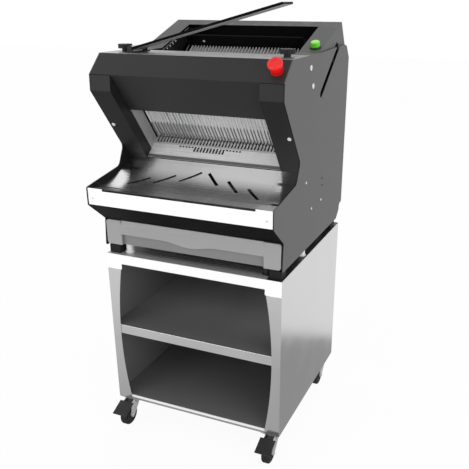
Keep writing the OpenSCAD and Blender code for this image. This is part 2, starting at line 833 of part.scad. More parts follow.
// Loaf channel
module loaf_chute() color(steel) in_chute() difference() {
  union() {
    box([-channel_x, comb_u / 2, -sheet_t], [channel_x, chute_l, 0]);
    box([-in_x, comb_u / 2, -sheet_t], [in_x, comb_u / 2 + tab_u, 0]);
    box([-in_x, chute_l - rear_tab_u, -sheet_t], [in_x, chute_l, 0]);
    sides() along_x(channel_x, channel_x + wall_t) polygon([[chute_wall_u, -sheet_t], [chute_l, -sheet_t],
      [chute_l, chute_rear_v], [chute_bend_u, chute_front_v], [chute_wall_u, chute_front_v]]);
  }
  sides() push_slot(channel_x - cut);
}

module exit_chute() color(steel) in_chute() {
  difference() {
    box([-channel_x, -post_u + tray_rear_gap, -sheet_t], [channel_x, -comb_u / 2, 0]);
    for (k = [-crumb_left_count : crumb_right_count]) {
      short = k < -crumb_long_left_count || k > crumb_long_right_count;
      reach = short ? crumb_u : crumb_long_u;
      translate([k * blade_pitch, 0, 0]) box([-crumb_slot_x / 2, -reach, -sheet_t - cut],
        [crumb_slot_x / 2, -comb_u / 2 - crumb_bar, cut]);
    }
  }
  box([-in_x, -window_u - tab_u + tray_rear_gap, -sheet_t], [in_x, -window_u, 0]);
  sides() along_x(channel_x, channel_x + wall_t) polygon([[-window_u + exit_wall_gap, -sheet_t],
    [-exit_wall_rear, -sheet_t], [-exit_wall_rear, chute_front_v], [-window_u + exit_wall_gap, chute_front_v]]);
}

module blade_comb() color(black) in_chute() difference() {
  box([-channel_x, -comb_u / 2, -comb_v], [channel_x, comb_u / 2, 0]);
  for (k = [-blade_half_count : blade_half_count]) translate([k * blade_pitch, 0, 0])
    box([-comb_slot_x / 2, -comb_slot_u / 2, -comb_v - cut], [comb_slot_x / 2, comb_slot_u / 2, cut]);
}

// Curved tray with its front face
function tray_point(k) = let (t = tray_run * k / tray_count)
  [lip_y + tray_face_in + t * (1 - tray_face_in / tray_run), tray_z - tray_dip_share * t + tray_rise * t * t];

module slice_tray() color(steel) on_machine() difference() {
  across(in_x) sheet(concat([[lip_y + tray_face_in, lip_low_z + sheet_t]],
    [for (k = [0 : tray_count]) tray_point(k)]), -tray_t);
  sides() for (k = [0 : slant_count - 1])
    translate([slant_x - k * slant_dx, slant_y + k * slant_dy, lip_low_z]) rotate([0, 0, -slant_angle])
      box([-tray_slot_l / 2, -tray_slot_w / 2, 0], [tray_slot_l / 2, tray_slot_w / 2, lip_top_z]);
  translate([0, lip_y, tray_z - long_slot_drop])
    box([-long_slot_l / 2, -cut, -long_slot_w], [long_slot_l / 2, tray_face_in + 2 * tray_t, 0]);
}

module apron() color(black) on_machine() across(in_x)
  sheet([[lip_y + tray_face_in, lip_low_z], [apron_y, apron_z]], sheet_t);

// Crumb drawer
module crumb_drawer() color(steel) on_machine() difference() {
  box([-box_x, drawer_y + drawer_front_t, drawer_z + box_lift],
    [box_x, drawer_y + drawer_front_t + drawer_d, drawer_z + box_lift + drawer_box_h]);
  box([-box_x + drawer_t, drawer_y + drawer_front_t + drawer_t, drawer_z + box_lift + drawer_t],
    [box_x - drawer_t, drawer_y + drawer_front_t + drawer_d - drawer_t, hood_z]);
}

function grip_line(k) = let (x = -drawer_x + drawer_end_w + k * 2 * (drawer_x - drawer_end_w) / grip_count)
  [x, grip_edge_z - (abs(x) < grip_wave_w ? grip_wave * (1 + cos(180 * x / grip_wave_w)) / 2 : 0)];

module drawer_front() color("darkgray") on_machine()
  translate([0, drawer_y + drawer_front_t, drawer_z]) difference() {
  rotate([90, 0, 0]) linear_extrude(drawer_front_t) polygon(rounded(
    [[-drawer_x, 0], [drawer_x, 0], [drawer_x, drawer_h], [-drawer_x, drawer_h]],
    [drawer_r, drawer_r, drawer_r, drawer_r]));
  across(drawer_x - drawer_end_w) polygon([[-drawer_front_t - cut, drawer_h - drawer_lean_h],
    [-drawer_front_t, drawer_h - drawer_lean_h], [-drawer_front_t + drawer_lean, drawer_h + cut],
    [-drawer_front_t - cut, drawer_h + cut]]);
  translate([0, -drawer_front_t + grip_in, 0]) rotate([90, 0, 0]) linear_extrude(drawer_front_t)
    polygon(concat([[-drawer_x + drawer_end_w, -cut]], [for (k = [0 : grip_count]) grip_line(k)],
      [[drawer_x - drawer_end_w, -cut]]));
}

// Blade frames: each carries every second blade
module blade_frame(s) in_chute() translate([0, s * row_u, 0]) difference() {
  union() {
    for (v = [-bar_low_v, blade_top_v]) box([-bar_half, -bar_u / 2, v], [bar_half, bar_u / 2, v + bar_v]);
    sides() box([bar_half - bar_x, -bar_u / 2, -bar_low_v], [bar_half, bar_u / 2, bar_top_v]);
    sides() for (v = [lug_low_v, lug_top_v])
      box([bar_half - bar_x, -lug_u / 2, v], [rod_x + lug_out, lug_u / 2, v + lug_v]);
  }
  sides() translate([rod_x, 0, -rod_low_v]) cylinder(r = rod_d / 2 + run_fit, h = rod_low_v + rod_top_v);
}

module blade_set(s, first) in_chute() for (k = [first - blade_half_count : 2 : blade_half_count])
  translate([k * blade_pitch, s * blade_u, 0])
    box([-blade_t / 2, -blade_w / 2, -blade_low_v], [blade_t / 2, blade_w / 2, blade_top_v]);

module blade_frame_front() color("gray") blade_frame(-1);
module blade_frame_rear() color("gray") blade_frame(1);
module blade_set_front() color(steel) blade_set(-1, 0);
module blade_set_rear() color(steel) blade_set(1, 1);

module guide_rods() color(steel) in_chute() sides() for (s = [-1, 1])
  translate([rod_x, s * row_u, -rod_low_v]) cylinder(d = rod_d, h = rod_low_v + rod_top_v);

module rod_blocks() color("gray") in_chute() sides() for (v = [-rod_low_v - block_t, rod_top_v])
  box([rod_x - block_in, -block_u / 2, v], [in_x, block_u / 2, v + block_t]);

// Drive below the chute
module at_crank() on_machine() translate([0, crank_at[0], crank_at[1]]) rotate([cut_angle, 0, 0]) children();

// A belt pulley with a rim on each side
module belt_pulley(r) {
  rod_along_x(r, -belt_x - pulley_w / 2, -belt_x + pulley_w / 2);
  rod_along_x(r + pulley_rim, -belt_x - pulley_w / 2, -belt_x - pulley_w / 2 + flange_t);
  rod_along_x(r + pulley_rim, -belt_x + pulley_w / 2 - flange_t, -belt_x + pulley_w / 2);
}

module crank_shaft() color("gray") at_crank() {
  rod_along_x(crank_d / 2, -crank_end_x, crank_end_x);
  for (s = [-1, 1]) translate([0, -s * stroke, 0])
    rod_along_x(cam_r, s * cam_x - rod_t / 2, s * cam_x + rod_t / 2);
  belt_pulley(crank_pulley_r);
}

module bearing_blocks() color("slategray") on_machine() sides() difference() {
  box([crank_end_x - pedestal_t, crank_at[0] - pedestal_w / 2, pan_t],
    [crank_end_x, crank_at[0] + pedestal_w / 2, crank_at[1] + pedestal_cap]);
  translate([0, crank_at[0], crank_at[1]]) rod_along_x(crank_d / 2 + run_fit, 0, machine_w);
}

module connecting_rod(s) in_chute() translate([s * cam_x, 0, 0]) {
  difference() {
    union() {
      translate([0, 0, -crank_v]) rod_along_x(ring_in_r + ring_w, -rod_t / 2, rod_t / 2);
      box([-rod_t / 2, s * row_u - bar_u / 2, -crank_v], [rod_t / 2, s * row_u + bar_u / 2, -bar_low_v]);
    }
    translate([0, 0, -crank_v]) rod_along_x(ring_in_r, -rod_t, rod_t);
  }
}

module connecting_rod_front() color("gray") connecting_rod(-1);
module connecting_rod_rear() color("gray") connecting_rod(1);

module at_motor() on_machine() translate([0, motor_y, motor_z]) children();

module motor() color("slategray") difference() {
  union() {
    at_motor() rod_along_x(motor_d / 2, -motor_x, -motor_x + motor_l);
    on_machine() box([-motor_x + (motor_l - motor_foot_l) / 2, motor_y - motor_foot_w / 2, pan_t],
      [-motor_x + (motor_l + motor_foot_l) / 2, motor_y + motor_foot_w / 2, pan_t + motor_foot_h]);
  }
  at_motor() rod_along_x(motor_shaft_d / 2 + run_fit, -machine_w / 2, -motor_x + motor_shaft_in);
}

module motor_pulley() color("gray") at_motor() {
  rod_along_x(motor_shaft_d / 2, -belt_x - pulley_w, -motor_x + motor_shaft_in - gap);
  belt_pulley(motor_pulley_r);
}

// Outline of a belt that runs clear round both pulleys, grown by a given amount
function belt_arc(at, r, first, last) = [for (k = [0 : belt_count])
  let (a = first + (last - first) * k / belt_count) at + r * [cos(a), sin(a)]];

module belt_outline(grow) {
  motor_at = [motor_y, motor_z];
  span = motor_at - crank_at;
  lead = atan2(span[1], span[0]);
  open = acos((crank_pulley_r - motor_pulley_r) / norm(span));
  polygon(concat(belt_arc(crank_at, crank_pulley_r + grow, lead + open, lead + 360 - open),
    belt_arc(motor_at, motor_pulley_r + grow, lead - open, lead + open)));
}

module drive_belt() color(black) on_machine()
  along_x(-belt_x - belt_w / 2, -belt_x + belt_w / 2) difference() {
  belt_outline(gap + belt_t);
  belt_outline(gap);
}

// Pusher
module pusher_plate() color(black) in_chute() difference() {
  plate_u = push_u - push_back;
  union() {
    box([-fin_plate_x, plate_u - push_plate_t, push_gap], [fin_plate_x, plate_u, push_plate_v]);
    for (k = [-fin_half_count : fin_half_count - 1]) translate([(k + 1 / 2) * blade_pitch, 0, 0])
      box([-fin_t / 2, plate_u - fin_u, push_gap], [fin_t / 2, plate_u - push_plate_t / 2, fin_v]);
    sides() box([fin_plate_x - 2 * push_lug_w, plate_u - push_plate_t / 2, push_v - push_lug_r],
      [fin_plate_x - push_lug_w, push_u + push_lug_r, push_v + push_lug_r]);
  }
  translate([0, push_u, push_v]) rod_along_x(push_rod_d / 2 + run_fit, -channel_x, channel_x);
}

module pusher_rod() color(black) in_chute() translate([0, push_u, push_v])
  rod_along_x(push_rod_d / 2, -machine_w / 2 + gap, machine_w / 2 - gap);

// Controls
module at_stop() on_machine() translate([stop_x, stop_at[0], stop_at[1]]) rotate([hood_slope, 0, 0]) children();
module at_start() on_machine() translate([start_x, start_y, start_z]) rotate([cheek_slope, 0, 0]) children();

module stop_button() color("red") at_stop() {
  head_z = stop_ring_h + stop_travel + stop_neck;
  translate([0, 0, stop_travel + stop_rest]) cylinder(d = stop_stem_d, h = head_z - stop_travel - stop_rest);
  translate([0, 0, head_z]) rotate_extrude() polygon(rounded(
    [[0, 0], [stop_d / 2, 0], [stop_d / 2, stop_head_h], [0, stop_head_h]],
    [0, stop_head_h / 4, stop_head_h / 2, 0]));
}

module start_button() color("limegreen") at_start() translate([0, 0, start_travel + start_rest])
  rotate_extrude() polygon(rounded([[0, 0], [start_d / 2, 0], [start_d / 2, start_h], [0, start_h]],
    [0, 0, start_h / 5, 0]));

module button_collars() color(black) {
  at_stop() ring(stop_stem_d / 2 + stop_ring_w, stop_stem_d / 2 + gap, stop_ring_h);
  at_start() ring(start_d / 2 + start_ring_w, start_d / 2 + gap, start_ring_h);
}

module clamp_knob(s) color(black) on_machine() translate([s * knob_x, knob_y, hood_z + gap]) {
  cylinder(d = knob_stem_d, h = knob_stem_h);
  translate([0, 0, knob_stem_h - gap]) difference() {
    cylinder(d = knob_d, h = knob_h);
    for (k = [0 : knob_groove_count - 1]) rotate([0, 0, 360 * k / knob_groove_count])
      translate([knob_d / 2 + knob_groove_at, 0, -cut])
        cylinder(d = knob_groove_d, h = knob_h + 2 * cut, $fn = 16);
  }
}

module clamp_knob_left() clamp_knob(-1);
module clamp_knob_right() clamp_knob(1);

module at_flap() on_machine() translate([-flap_x, knob_y, hinge_z]) children();

module hold_down_flap() color(black) at_flap() rotate([0, -flap_angle, 0]) difference() {
  union() {
    rotate([90, 0, 0]) cylinder(r = flap_knuckle_r, h = flap_d, center = true);
    translate([0, flap_d / 2, 0]) rotate([90, 0, 0]) linear_extrude(flap_d) polygon(rounded(
      [[0, -flap_drop], [flap_l, -flap_drop], [flap_l, flap_t - flap_drop], [0, flap_t - flap_drop]],
      [0, flap_edge_r, flap_edge_r, 0]));
  }
  rotate([90, 0, 0]) cylinder(d = flap_pin_d + 2 * run_fit, h = 2 * flap_d, center = true);
}

module flap_hinge() color(black) at_flap() {
  half = flap_d / 2 + gap + hinge_ear_t;
  translate([0, 0, hood_z - hinge_z]) box([-hinge_base_x, -half, 0], [hinge_base_x, half, hinge_base_t]);
  for (s = [-1, 1]) translate([0, s * (half - hinge_ear_t / 2), 0]) {
    rotate([90, 0, 0]) cylinder(r = hinge_ear_r, h = hinge_ear_t, center = true);
    box([-hinge_ear_r, -hinge_ear_t / 2, hood_z - hinge_z], [hinge_ear_r, hinge_ear_t / 2, 0]);
  }
  rotate([90, 0, 0]) cylinder(d = flap_pin_d, h = 2 * half, center = true);
}

// Screw heads on the casing
module side_screws(shares, r) sides() for (at = shares)
  translate([machine_w / 2, at[0] * rear_y, at[1] * hood_z]) rotate([0, 90, 0]) cylinder(r = r, h = screw_h);

module panel_screws() color("white") on_machine() {
  post_screw = brow + post_screw_s * face_slope;
  side_screws(big_screw_shares, big_screw_r);
  side_screws(small_screw_shares, small_screw_r);
  sides() translate([in_x - post_screw_in, post_screw[0], post_screw[1]]) rotate([90 + cut_angle, 0, 0])
    cylinder(r = post_screw_r, h = screw_h);
  sides() translate([in_x - lip_screw_in, lip_y + tray_face_in, lip_screw_z]) rotate([90, 0, 0])
    cylinder(r = lip_screw_r, h = lip_screw_h);
}

stand_side_left();
stand_side_right();
stand_top_plate();
stand_back_panel();
middle_shelf();
bottom_shelf();
caster_plates();
caster_bolts();
caster_fork_fl();
caster_fork_fr();
caster_fork_rl();
caster_fork_rr();
caster_wheel_fl();
caster_wheel_fr();
caster_wheel_rl();
caster_wheel_rr();
brake_pedal_left();
brake_pedal_right();
base_pan();
machine_feet();
levelling_feet();
side_panel_left();
side_panel_right();
hood_front();
hood_top_strip();
post_left();
post_right();
rear_cover();
loaf_chute();
exit_chute();
blade_comb();
slice_tray();
apron();
crumb_drawer();
drawer_front();
blade_frame_front();
blade_set_front();
blade_frame_rear();
blade_set_rear();
guide_rods();
rod_blocks();
control_box();
power_inlet();
motor();
motor_pulley();
drive_belt();
crank_shaft();
bearing_blocks();
connecting_rod_front();
connecting_rod_rear();
pusher_plate();
pusher_rod();
stop_button();
start_button();
button_collars();
clamp_knob_left();
clamp_knob_right();
hold_down_flap();
flap_hinge();
panel_screws();
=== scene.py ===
import bpy
import math
from mathutils import Matrix, Vector


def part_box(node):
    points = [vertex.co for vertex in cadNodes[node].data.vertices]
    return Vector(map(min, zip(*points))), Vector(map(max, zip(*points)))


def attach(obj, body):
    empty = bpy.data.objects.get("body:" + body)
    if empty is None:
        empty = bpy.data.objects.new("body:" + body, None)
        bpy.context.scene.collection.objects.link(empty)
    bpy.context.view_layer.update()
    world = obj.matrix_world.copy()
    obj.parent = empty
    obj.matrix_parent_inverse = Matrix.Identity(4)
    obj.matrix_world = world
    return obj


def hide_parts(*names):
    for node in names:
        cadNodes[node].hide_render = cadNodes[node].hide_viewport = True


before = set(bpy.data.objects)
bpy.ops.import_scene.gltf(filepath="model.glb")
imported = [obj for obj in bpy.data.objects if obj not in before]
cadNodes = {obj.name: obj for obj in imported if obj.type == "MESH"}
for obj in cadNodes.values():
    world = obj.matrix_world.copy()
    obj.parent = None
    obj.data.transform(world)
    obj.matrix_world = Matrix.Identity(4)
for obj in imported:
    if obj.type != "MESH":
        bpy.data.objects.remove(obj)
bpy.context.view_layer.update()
print("frame loaded with", len(cadNodes), "nodes")


# tones and nodes
def shade(level):  # 0-255 as seen on screen to linear light
    c = level / 255
    return c / 12.92 if c <= 0.04045 else ((c + 0.055) / 1.055) ** 2.4


def colour(tone, drift=0):
    levels = tone if isinstance(tone, tuple) else (tone, tone, tone)
    return tuple(shade(min(max(level + drift, 0), 255)) for level in levels) + (1.0,)


def addNode(tree, kind, at, inputs=None, **settings):
    made = tree.nodes.new(kind)
    made.location = at
    for key, value in settings.items():
        setattr(made, key, value)
    for key, value in (inputs or {}).items():
        made.inputs[key].default_value = value
    return made


def plug(tree, value, socket):  # a number goes on the socket, anything else is linked
    if isinstance(value, (int, float, tuple)):
        socket.default_value = value
    else:
        tree.links.new(value, socket)


def mathNode(tree, operation, at, *values, clamp=False):
    made = addNode(tree, "ShaderNodeMath", at, operation=operation, use_clamp=clamp)
    for slot, value in enumerate(values):
        plug(tree, value, made.inputs[slot])
    return made.outputs[0]


def mixColours(tree, at, factor, first, second):  # 6 and 7 are the node's colour sockets
    made = addNode(tree, "ShaderNodeMix", at, data_type="RGBA")
    tree.links.new(factor, made.inputs[0])
    plug(tree, first, made.inputs[6])
    plug(tree, second, made.inputs[7])
    return made.outputs[2]


def mixValues(tree, at, factor, first, second):  # 2 and 3 are its number sockets
    made = addNode(tree, "ShaderNodeMix", at, data_type="FLOAT")
    tree.links.new(factor, made.inputs[0])
    plug(tree, first, made.inputs[2])
    plug(tree, second, made.inputs[3])
    return made.outputs[0]


def noiseNode(tree, at, vector, scale, detail, rough):
    made = addNode(tree, "ShaderNodeTexNoise", at, {"Detail": detail, "Roughness": rough})
    plug(tree, scale, made.inputs["Scale"])
    tree.links.new(vector, made.inputs["Vector"])
    return made.outputs["Fac"]


def rangeNode(tree, at, value, start, end, low=0.0, high=1.0, **settings):  # start gives low, end gives high
    made = addNode(tree, "ShaderNodeMapRange", at, {"From Min": start, "From Max": end}, **settings)
    tree.links.new(value, made.inputs["Value"])
    plug(tree, low, made.inputs["To Min"])
    plug(tree, high, made.inputs["To Max"])
    return made.outputs["Result"]


def newGroup(name, inputs, outputs):
    tree = bpy.data.node_groups.new(name, "ShaderNodeTree")
    for label, kind, value in inputs:
        socket = tree.interface.new_socket(label, in_out="INPUT", socket_type=kind)
        if value is not None:
            socket.default_value = value
    for label in outputs:
        tree.interface.new_socket(label, in_out="OUTPUT", socket_type="NodeSocketFloat")
    return tree, addNode(tree, "NodeGroupInput", (-900, 0)), addNode(tree, "NodeGroupOutput", (700, 0))


def placeGroup(tree, group, at, inputs=None):
    return addNode(tree, "ShaderNodeGroup", at, inputs, node_tree=group)


# shared effects
smearSize = 0.12  # how much the cloud changes the roughness of brushed steel
faceEdge = 0.6  # part of a normal past which a face counts as looking that way


def buildBrushedGroup():
    tree, start, end = newGroup(
        "brushedLines",
        [("Lines", "NodeSocketVector", None), ("Place", "NodeSocketVector", None),
         ("Rough Low", "NodeSocketFloat", 0.2), ("Rough High", "NodeSocketFloat", 0.4)],
        ["Roughness", "Height", "Cloud"])
    lines = noiseNode(tree, (-650, 150), start.outputs["Lines"], scale=1.0, detail=5.0, rough=0.6)
    cloud = noiseNode(tree, (-650, -200), start.outputs["Place"], scale=7.0, detail=3.0, rough=0.55)
    spread = rangeNode(tree, (-350, 100), lines, start=0.3, end=0.7, low=start.outputs["Rough Low"],
                       high=start.outputs["Rough High"])
    smear = mathNode(tree, "MULTIPLY_ADD", (-350, -200), cloud, smearSize, -smearSize / 2)
    total = mathNode(tree, "ADD", (100, 50), spread, smear, clamp=True)
    tree.links.new(total, end.inputs["Roughness"])
    tree.links.new(lines, end.inputs["Height"])
    tree.links.new(cloud, end.inputs["Cloud"])
    return tree


def buildGrainGroup():
    tree, start, end = newGroup(
        "coatGrain",
        [("Vector", "NodeSocketVector", None), ("Grain", "NodeSocketFloat", 900.0),
         ("Rough", "NodeSocketFloat", 0.5), ("Spread", "NodeSocketFloat", 0.12)],
        ["Roughness", "Height", "Cloud"])
    vector = start.outputs["Vector"]
    grain = noiseNode(tree, (-650, 150), vector, scale=start.outputs["Grain"], detail=2.0, rough=0.5)
    cloud = noiseNode(tree, (-650, -200), vector, scale=5.0, detail=4.0, rough=0.6)
    offset = mathNode(tree, "SUBTRACT", (-350, -200), cloud, 0.5)
    swing = mathNode(tree, "MULTIPLY", (-150, -100), offset, start.outputs["Spread"])
    total = mathNode(tree, "ADD", (100, 0), swing, start.outputs["Rough"], clamp=True)
    tree.links.new(total, end.inputs["Roughness"])
    tree.links.new(grain, end.inputs["Height"])
    tree.links.new(cloud, end.inputs["Cloud"])
    return tree


def buildScuffGroup():  # short fine scratches, as a mask
    tree, start, end = newGroup(
        "fineScuffs", [("Vector", "NodeSocketVector", None), ("Amount", "NodeSocketFloat", 0.3)], ["Mask"])
    warp = addNode(tree, "ShaderNodeMapping", (-650, 0),
                   {"Scale": (40.0, 9.0, 40.0), "Rotation": (0.3, 0.5, 0.8)})
    tree.links.new(start.outputs["Vector"], warp.inputs["Vector"])
    noise = noiseNode(tree, (-400, 0), warp.outputs["Vector"], scale=9.0, detail=8.0, rough=0.75)
    pick = rangeNode(tree, (-100, 0), noise, start=0.62, end=0.7)
    total = mathNode(tree, "MULTIPLY", (200, 0), pick, start.outputs["Amount"], clamp=True)
    tree.links.new(total, end.inputs["Mask"])
    return tree


def buildDustGroup():  # flour that settles on faces that look up
    tree, start, end = newGroup(
        "flourDust", [("Vector", "NodeSocketVector", None), ("Amount", "NodeSocketFloat", 0.3)], ["Mask"])
    coords = addNode(tree, "ShaderNodeTexCoord", (-900, -250))
    split = addNode(tree, "ShaderNodeSeparateXYZ", (-700, -250))
    tree.links.new(coords.outputs["Normal"], split.inputs["Vector"])
    up = rangeNode(tree, (-450, -250), split.outputs["Z"], start=0.3, end=0.95)
    noise = noiseNode(tree, (-650, 100), start.outputs["Vector"], scale=22.0, detail=6.0, rough=0.7)
    pick = rangeNode(tree, (-350, 100), noise, start=0.45, end=0.75)
    settled = mathNode(tree, "MULTIPLY", (0, 0), pick, up)
    total = mathNode(tree, "MULTIPLY", (250, 0), settled, start.outputs["Amount"], clamp=True)
    tree.links.new(total, end.inputs["Mask"])
    return tree


def buildFaceGroup():  # which way a face looks, as masks
    tree, start, end = newGroup("faceTurn", [("Sharp", "NodeSocketFloat", 8.0)],
                                ["Side", "Front", "Top", "Under", "Inward"])
    coords = addNode(tree, "ShaderNodeTexCoord", (-900, -250))
    turn = addNode(tree, "ShaderNodeSeparateXYZ", (-650, -200))
    place = addNode(tree, "ShaderNodeSeparateXYZ", (-650, -400))
    tree.links.new(coords.outputs["Normal"], turn.inputs["Vector"])
    tree.links.new(coords.outputs["Object"], place.inputs["Vector"])
    side = mathNode(tree, "ABSOLUTE", (-400, 100), turn.outputs["X"])
    front = mathNode(tree, "MULTIPLY", (-400, -100), turn.outputs["Y"], -1.0)
    under = mathNode(tree, "MULTIPLY", (-400, -250), turn.outputs["Z"], -1.0)
    hand = mathNode(tree, "SIGN", (-500, -400), place.outputs["X"])
    away = mathNode(tree, "MULTIPLY", (-400, -500), hand, -1.0)
    inward = mathNode(tree, "MULTIPLY", (-300, -400), away, turn.outputs["X"])
    for label, value, y in (("Side", side, 200), ("Front", front, 0), ("Top", turn.outputs["Z"], -200),
                            ("Under", under, -300), ("Inward", inward, -400)):
        shifted = mathNode(tree, "SUBTRACT", (-150, y), value, faceEdge)
        steep = mathNode(tree, "MULTIPLY", (50, y), shifted, start.outputs["Sharp"])
        mask = mathNode(tree, "ADD", (250, y), steep, 0.5, clamp=True)
        tree.links.new(mask, end.inputs[label])
    return tree


brushedGroup = buildBrushedGroup()
grainGroup = buildGrainGroup()
scuffGroup = buildScuffGroup()
dustGroup = buildDustGroup()
faceGroup = buildFaceGroup()
print("shared effects built")

# chute frame: the blades pass its floor at knifeLine, u runs up the chute, v stands on its floor
chuteTurn = math.radians(37.2)
knifeLine = Vector((0, -0.0325, 0.975))
alongU = Vector((0, math.cos(chuteTurn), math.sin(chuteTurn)))
alongV = Vector((0, -math.sin(chuteTurn), math.cos(chuteTurn)))


def inChute(x, u, v):
    return knifeLine + Vector((x, 0, 0)) + alongU * u + alongV * v


# places on a piece, as masks; each takes the material's tools and gives a socket
def above(axis, level):
    def mask(tools):
        return mathNode(tools["tree"], "GREATER_THAN", (-600, -500), tools["place"].outputs[axis], level)
    return mask


def below(axis, level):
    def mask(tools):
        return mathNode(tools["tree"], "LESS_THAN", (-600, -500), tools["place"].outputs[axis], level)
    return mask


def fade(axis, start, end):  # from 0 at start to 1 at end
    def mask(tools):
        return rangeNode(tools["tree"], (-600, -1150), tools["place"].outputs[axis], start, end,
                         interpolation_type="SMOOTHSTEP")
    return mask


def beyondSide(level):
    def mask(tools):
        far = mathNode(tools["tree"], "ABSOLUTE", (-750, -650), tools["place"].outputs["X"])
        return mathNode(tools["tree"], "GREATER_THAN", (-600, -650), far, level)
    return mask


def chuteRange(direction, low, high, soft=0.001):
    def mask(tools):
        tree = tools["tree"]
        along = addNode(tree, "ShaderNodeVectorMath", (-900, -800), operation="DOT_PRODUCT")
        tree.links.new(tools["coords"], along.inputs[0])
        along.inputs[1].default_value = direction
        place = along.outputs["Value"]
        zero = direction.dot(knifeLine)
        rise = rangeNode(tree, (-700, -800), place, zero + low - soft, zero + low + soft)
        drop = rangeNode(tree, (-700, -1000), place, zero + high - soft, zero + high + soft,
                         low=1.0, high=0.0)
        return mathNode(tree, "MULTIPLY", (-450, -850), rise, drop)
    return mask


def facing(label):
    def mask(tools):
        return tools["faces"].outputs[label]
    return mask


def notWhere(inner):
    def mask(tools):
        return mathNode(tools["tree"], "SUBTRACT", (-400, -600), 1.0, inner(tools))
    return mask


def both(first, second):
    def mask(tools):
        return mathNode(tools["tree"], "MULTIPLY", (-300, -600), first(tools), second(tools))
    return mask


def either(first, second):
    def mask(tools):
        return mathNode(tools["tree"], "MAXIMUM", (-300, -700), first(tools), second(tools))
    return mask


# one builder for every finish: brushed metal or grained coat, then zones, scuffs and flour
usualLook = {"drift": 4, "metal": 0.0, "spread": 0.12, "specular": 0.5}
flourLook = {"tone": (214, 210, 202), "rough": 0.8}
bumpDepth = 0.0003


def makeFinish(name, pieceLook, zones=()):
    look = {**usualLook, **pieceLook}
    material = bpy.data.materials.new(name)
    material.use_nodes = True
    tree = material.node_tree
    tree.nodes.clear()
    shader = addNode(tree, "ShaderNodeBsdfPrincipled", (700, 0))
    out = addNode(tree, "ShaderNodeOutputMaterial", (1000, 0))
    tree.links.new(shader.outputs["BSDF"], out.inputs["Surface"])
    coords = addNode(tree, "ShaderNodeTexCoord", (-1400, 0)).outputs["Object"]
    tools = {"tree": tree, "coords": coords}
    if zones:
        tools["place"] = addNode(tree, "ShaderNodeSeparateXYZ", (-1150, -300))
        tools["faces"] = placeGroup(tree, faceGroup, (-1150, -500))
        tree.links.new(coords, tools["place"].inputs["Vector"])
    if "lines" in look:
        stretch = addNode(tree, "ShaderNodeMapping", (-1150, 200), {"Scale": look["lines"]})
        tree.links.new(coords, stretch.inputs["Vector"])
        base = placeGroup(tree, brushedGroup, (-850, 100), {"Rough Low": look["rough"][0],
                                                            "Rough High": look["rough"][1]})
        tree.links.new(stretch.outputs["Vector"], base.inputs["Lines"])
        tree.links.new(coords, base.inputs["Place"])
    else:
        base = placeGroup(tree, grainGroup, (-850, 100), {"Grain": look["grain"], "Rough": look["rough"],
                                                          "Spread": look["spread"]})
        tree.links.new(coords, base.inputs["Vector"])
    drift = look["drift"]
    tint = mixColours(tree, (-500, 300), base.outputs["Cloud"], colour(look["tone"], -drift),
                      colour(look["tone"], drift))
    rough = base.outputs["Roughness"]
    metal = look["metal"]
    for step, zone in enumerate(zones):
        at = -250 + step * 120
        mask = zone["where"](tools)
        tint = mixColours(tree, (at, 300), mask, tint, colour(zone["tone"]))
        if "rough" in zone:
            rough = mixValues(tree, (at, 100), mask, rough, zone["rough"])
        if zone.get("metal", metal) != metal or not isinstance(metal, float):
            metal = mixValues(tree, (at, -100), mask, metal, zone.get("metal", 0.0))
    if "scuffs" in look:
        scuffs = placeGroup(tree, scuffGroup, (250, 500), {"Amount": look["scuffs"]})
        tree.links.new(coords, scuffs.inputs["Vector"])
        tint = mixColours(tree, (400, 400), scuffs.outputs["Mask"], tint, colour(look["scuffTone"]))
    if "flour" in look:
        dust = placeGroup(tree, dustGroup, (250, 700), {"Amount": look["flour"]})
        tree.links.new(coords, dust.inputs["Vector"])
        tint = mixColours(tree, (520, 400), dust.outputs["Mask"], tint, colour(flourLook["tone"]))
        rough = mixValues(tree, (520, 200), dust.outputs["Mask"], rough, flourLook["rough"])
    plug(tree, tint, shader.inputs["Base Color"])
    plug(tree, rough, shader.inputs["Roughness"])
    plug(tree, metal, shader.inputs["Metallic"])
    shader.inputs["Specular IOR Level"].default_value = look["specular"]
    bump = addNode(tree, "ShaderNodeBump", (400, -350), {"Strength": look["bump"], "Distance": bumpDepth})
    tree.links.new(base.outputs["Height"], bump.inputs["Height"])
    tree.links.new(bump.outputs["Normal"], shader.inputs["Normal"])
    return material


def dress(material, *names):  # puts one material on CAD nodes
    for name in names:
        mesh = cadNodes[name].data
        mesh.materials.clear()
        mesh.materials.append(material)


# how fine the brushing is along each axis, as noise scales
alongX = (3.0, 900.0, 900.0)
alongY = (900.0, 3.0, 900.0)
alongZ = (900.0, 900.0, 3.0)
speckle = (90.0, 90.0, 90.0)
castLumps = (300.0, 300.0, 300.0)

# stand: bright steel outside; its inside faces are painted dull and dark, a painted shade of the interior
standLow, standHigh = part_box("stand_side_right")
standZones = {"skin": 0.0012, "skirt": 0.003, "back": 0.003, "lip": 0.005, "plateFrontLight": 0.05,
              "plateShade": 0.25, "shelfDepth": (-0.22, 0.0), "shelfWidth": (0.0, 0.24)}
standLook = {"tone": 222, "drift": 5, "metal": 1.0, "rough": (0.1, 0.15), "lines": alongZ, "bump": 0.02}
shelfLook = {"tone": 222, "drift": 5, "metal": 1.0, "rough": (0.2, 0.3), "lines": alongX, "bump": 0.03}
topPlateLook = {"tone": 236, "drift": 4, "metal": 0.85, "rough": (0.2, 0.32), "lines": alongX, "bump": 0.04}
backInsideShadeLook = {"tone": 116, "drift": 6, "grain": 700.0, "rough": 0.4, "bump": 0.04}
standInsideShading = {"tone": 110, "metal": 0.0, "rough": 0.42}

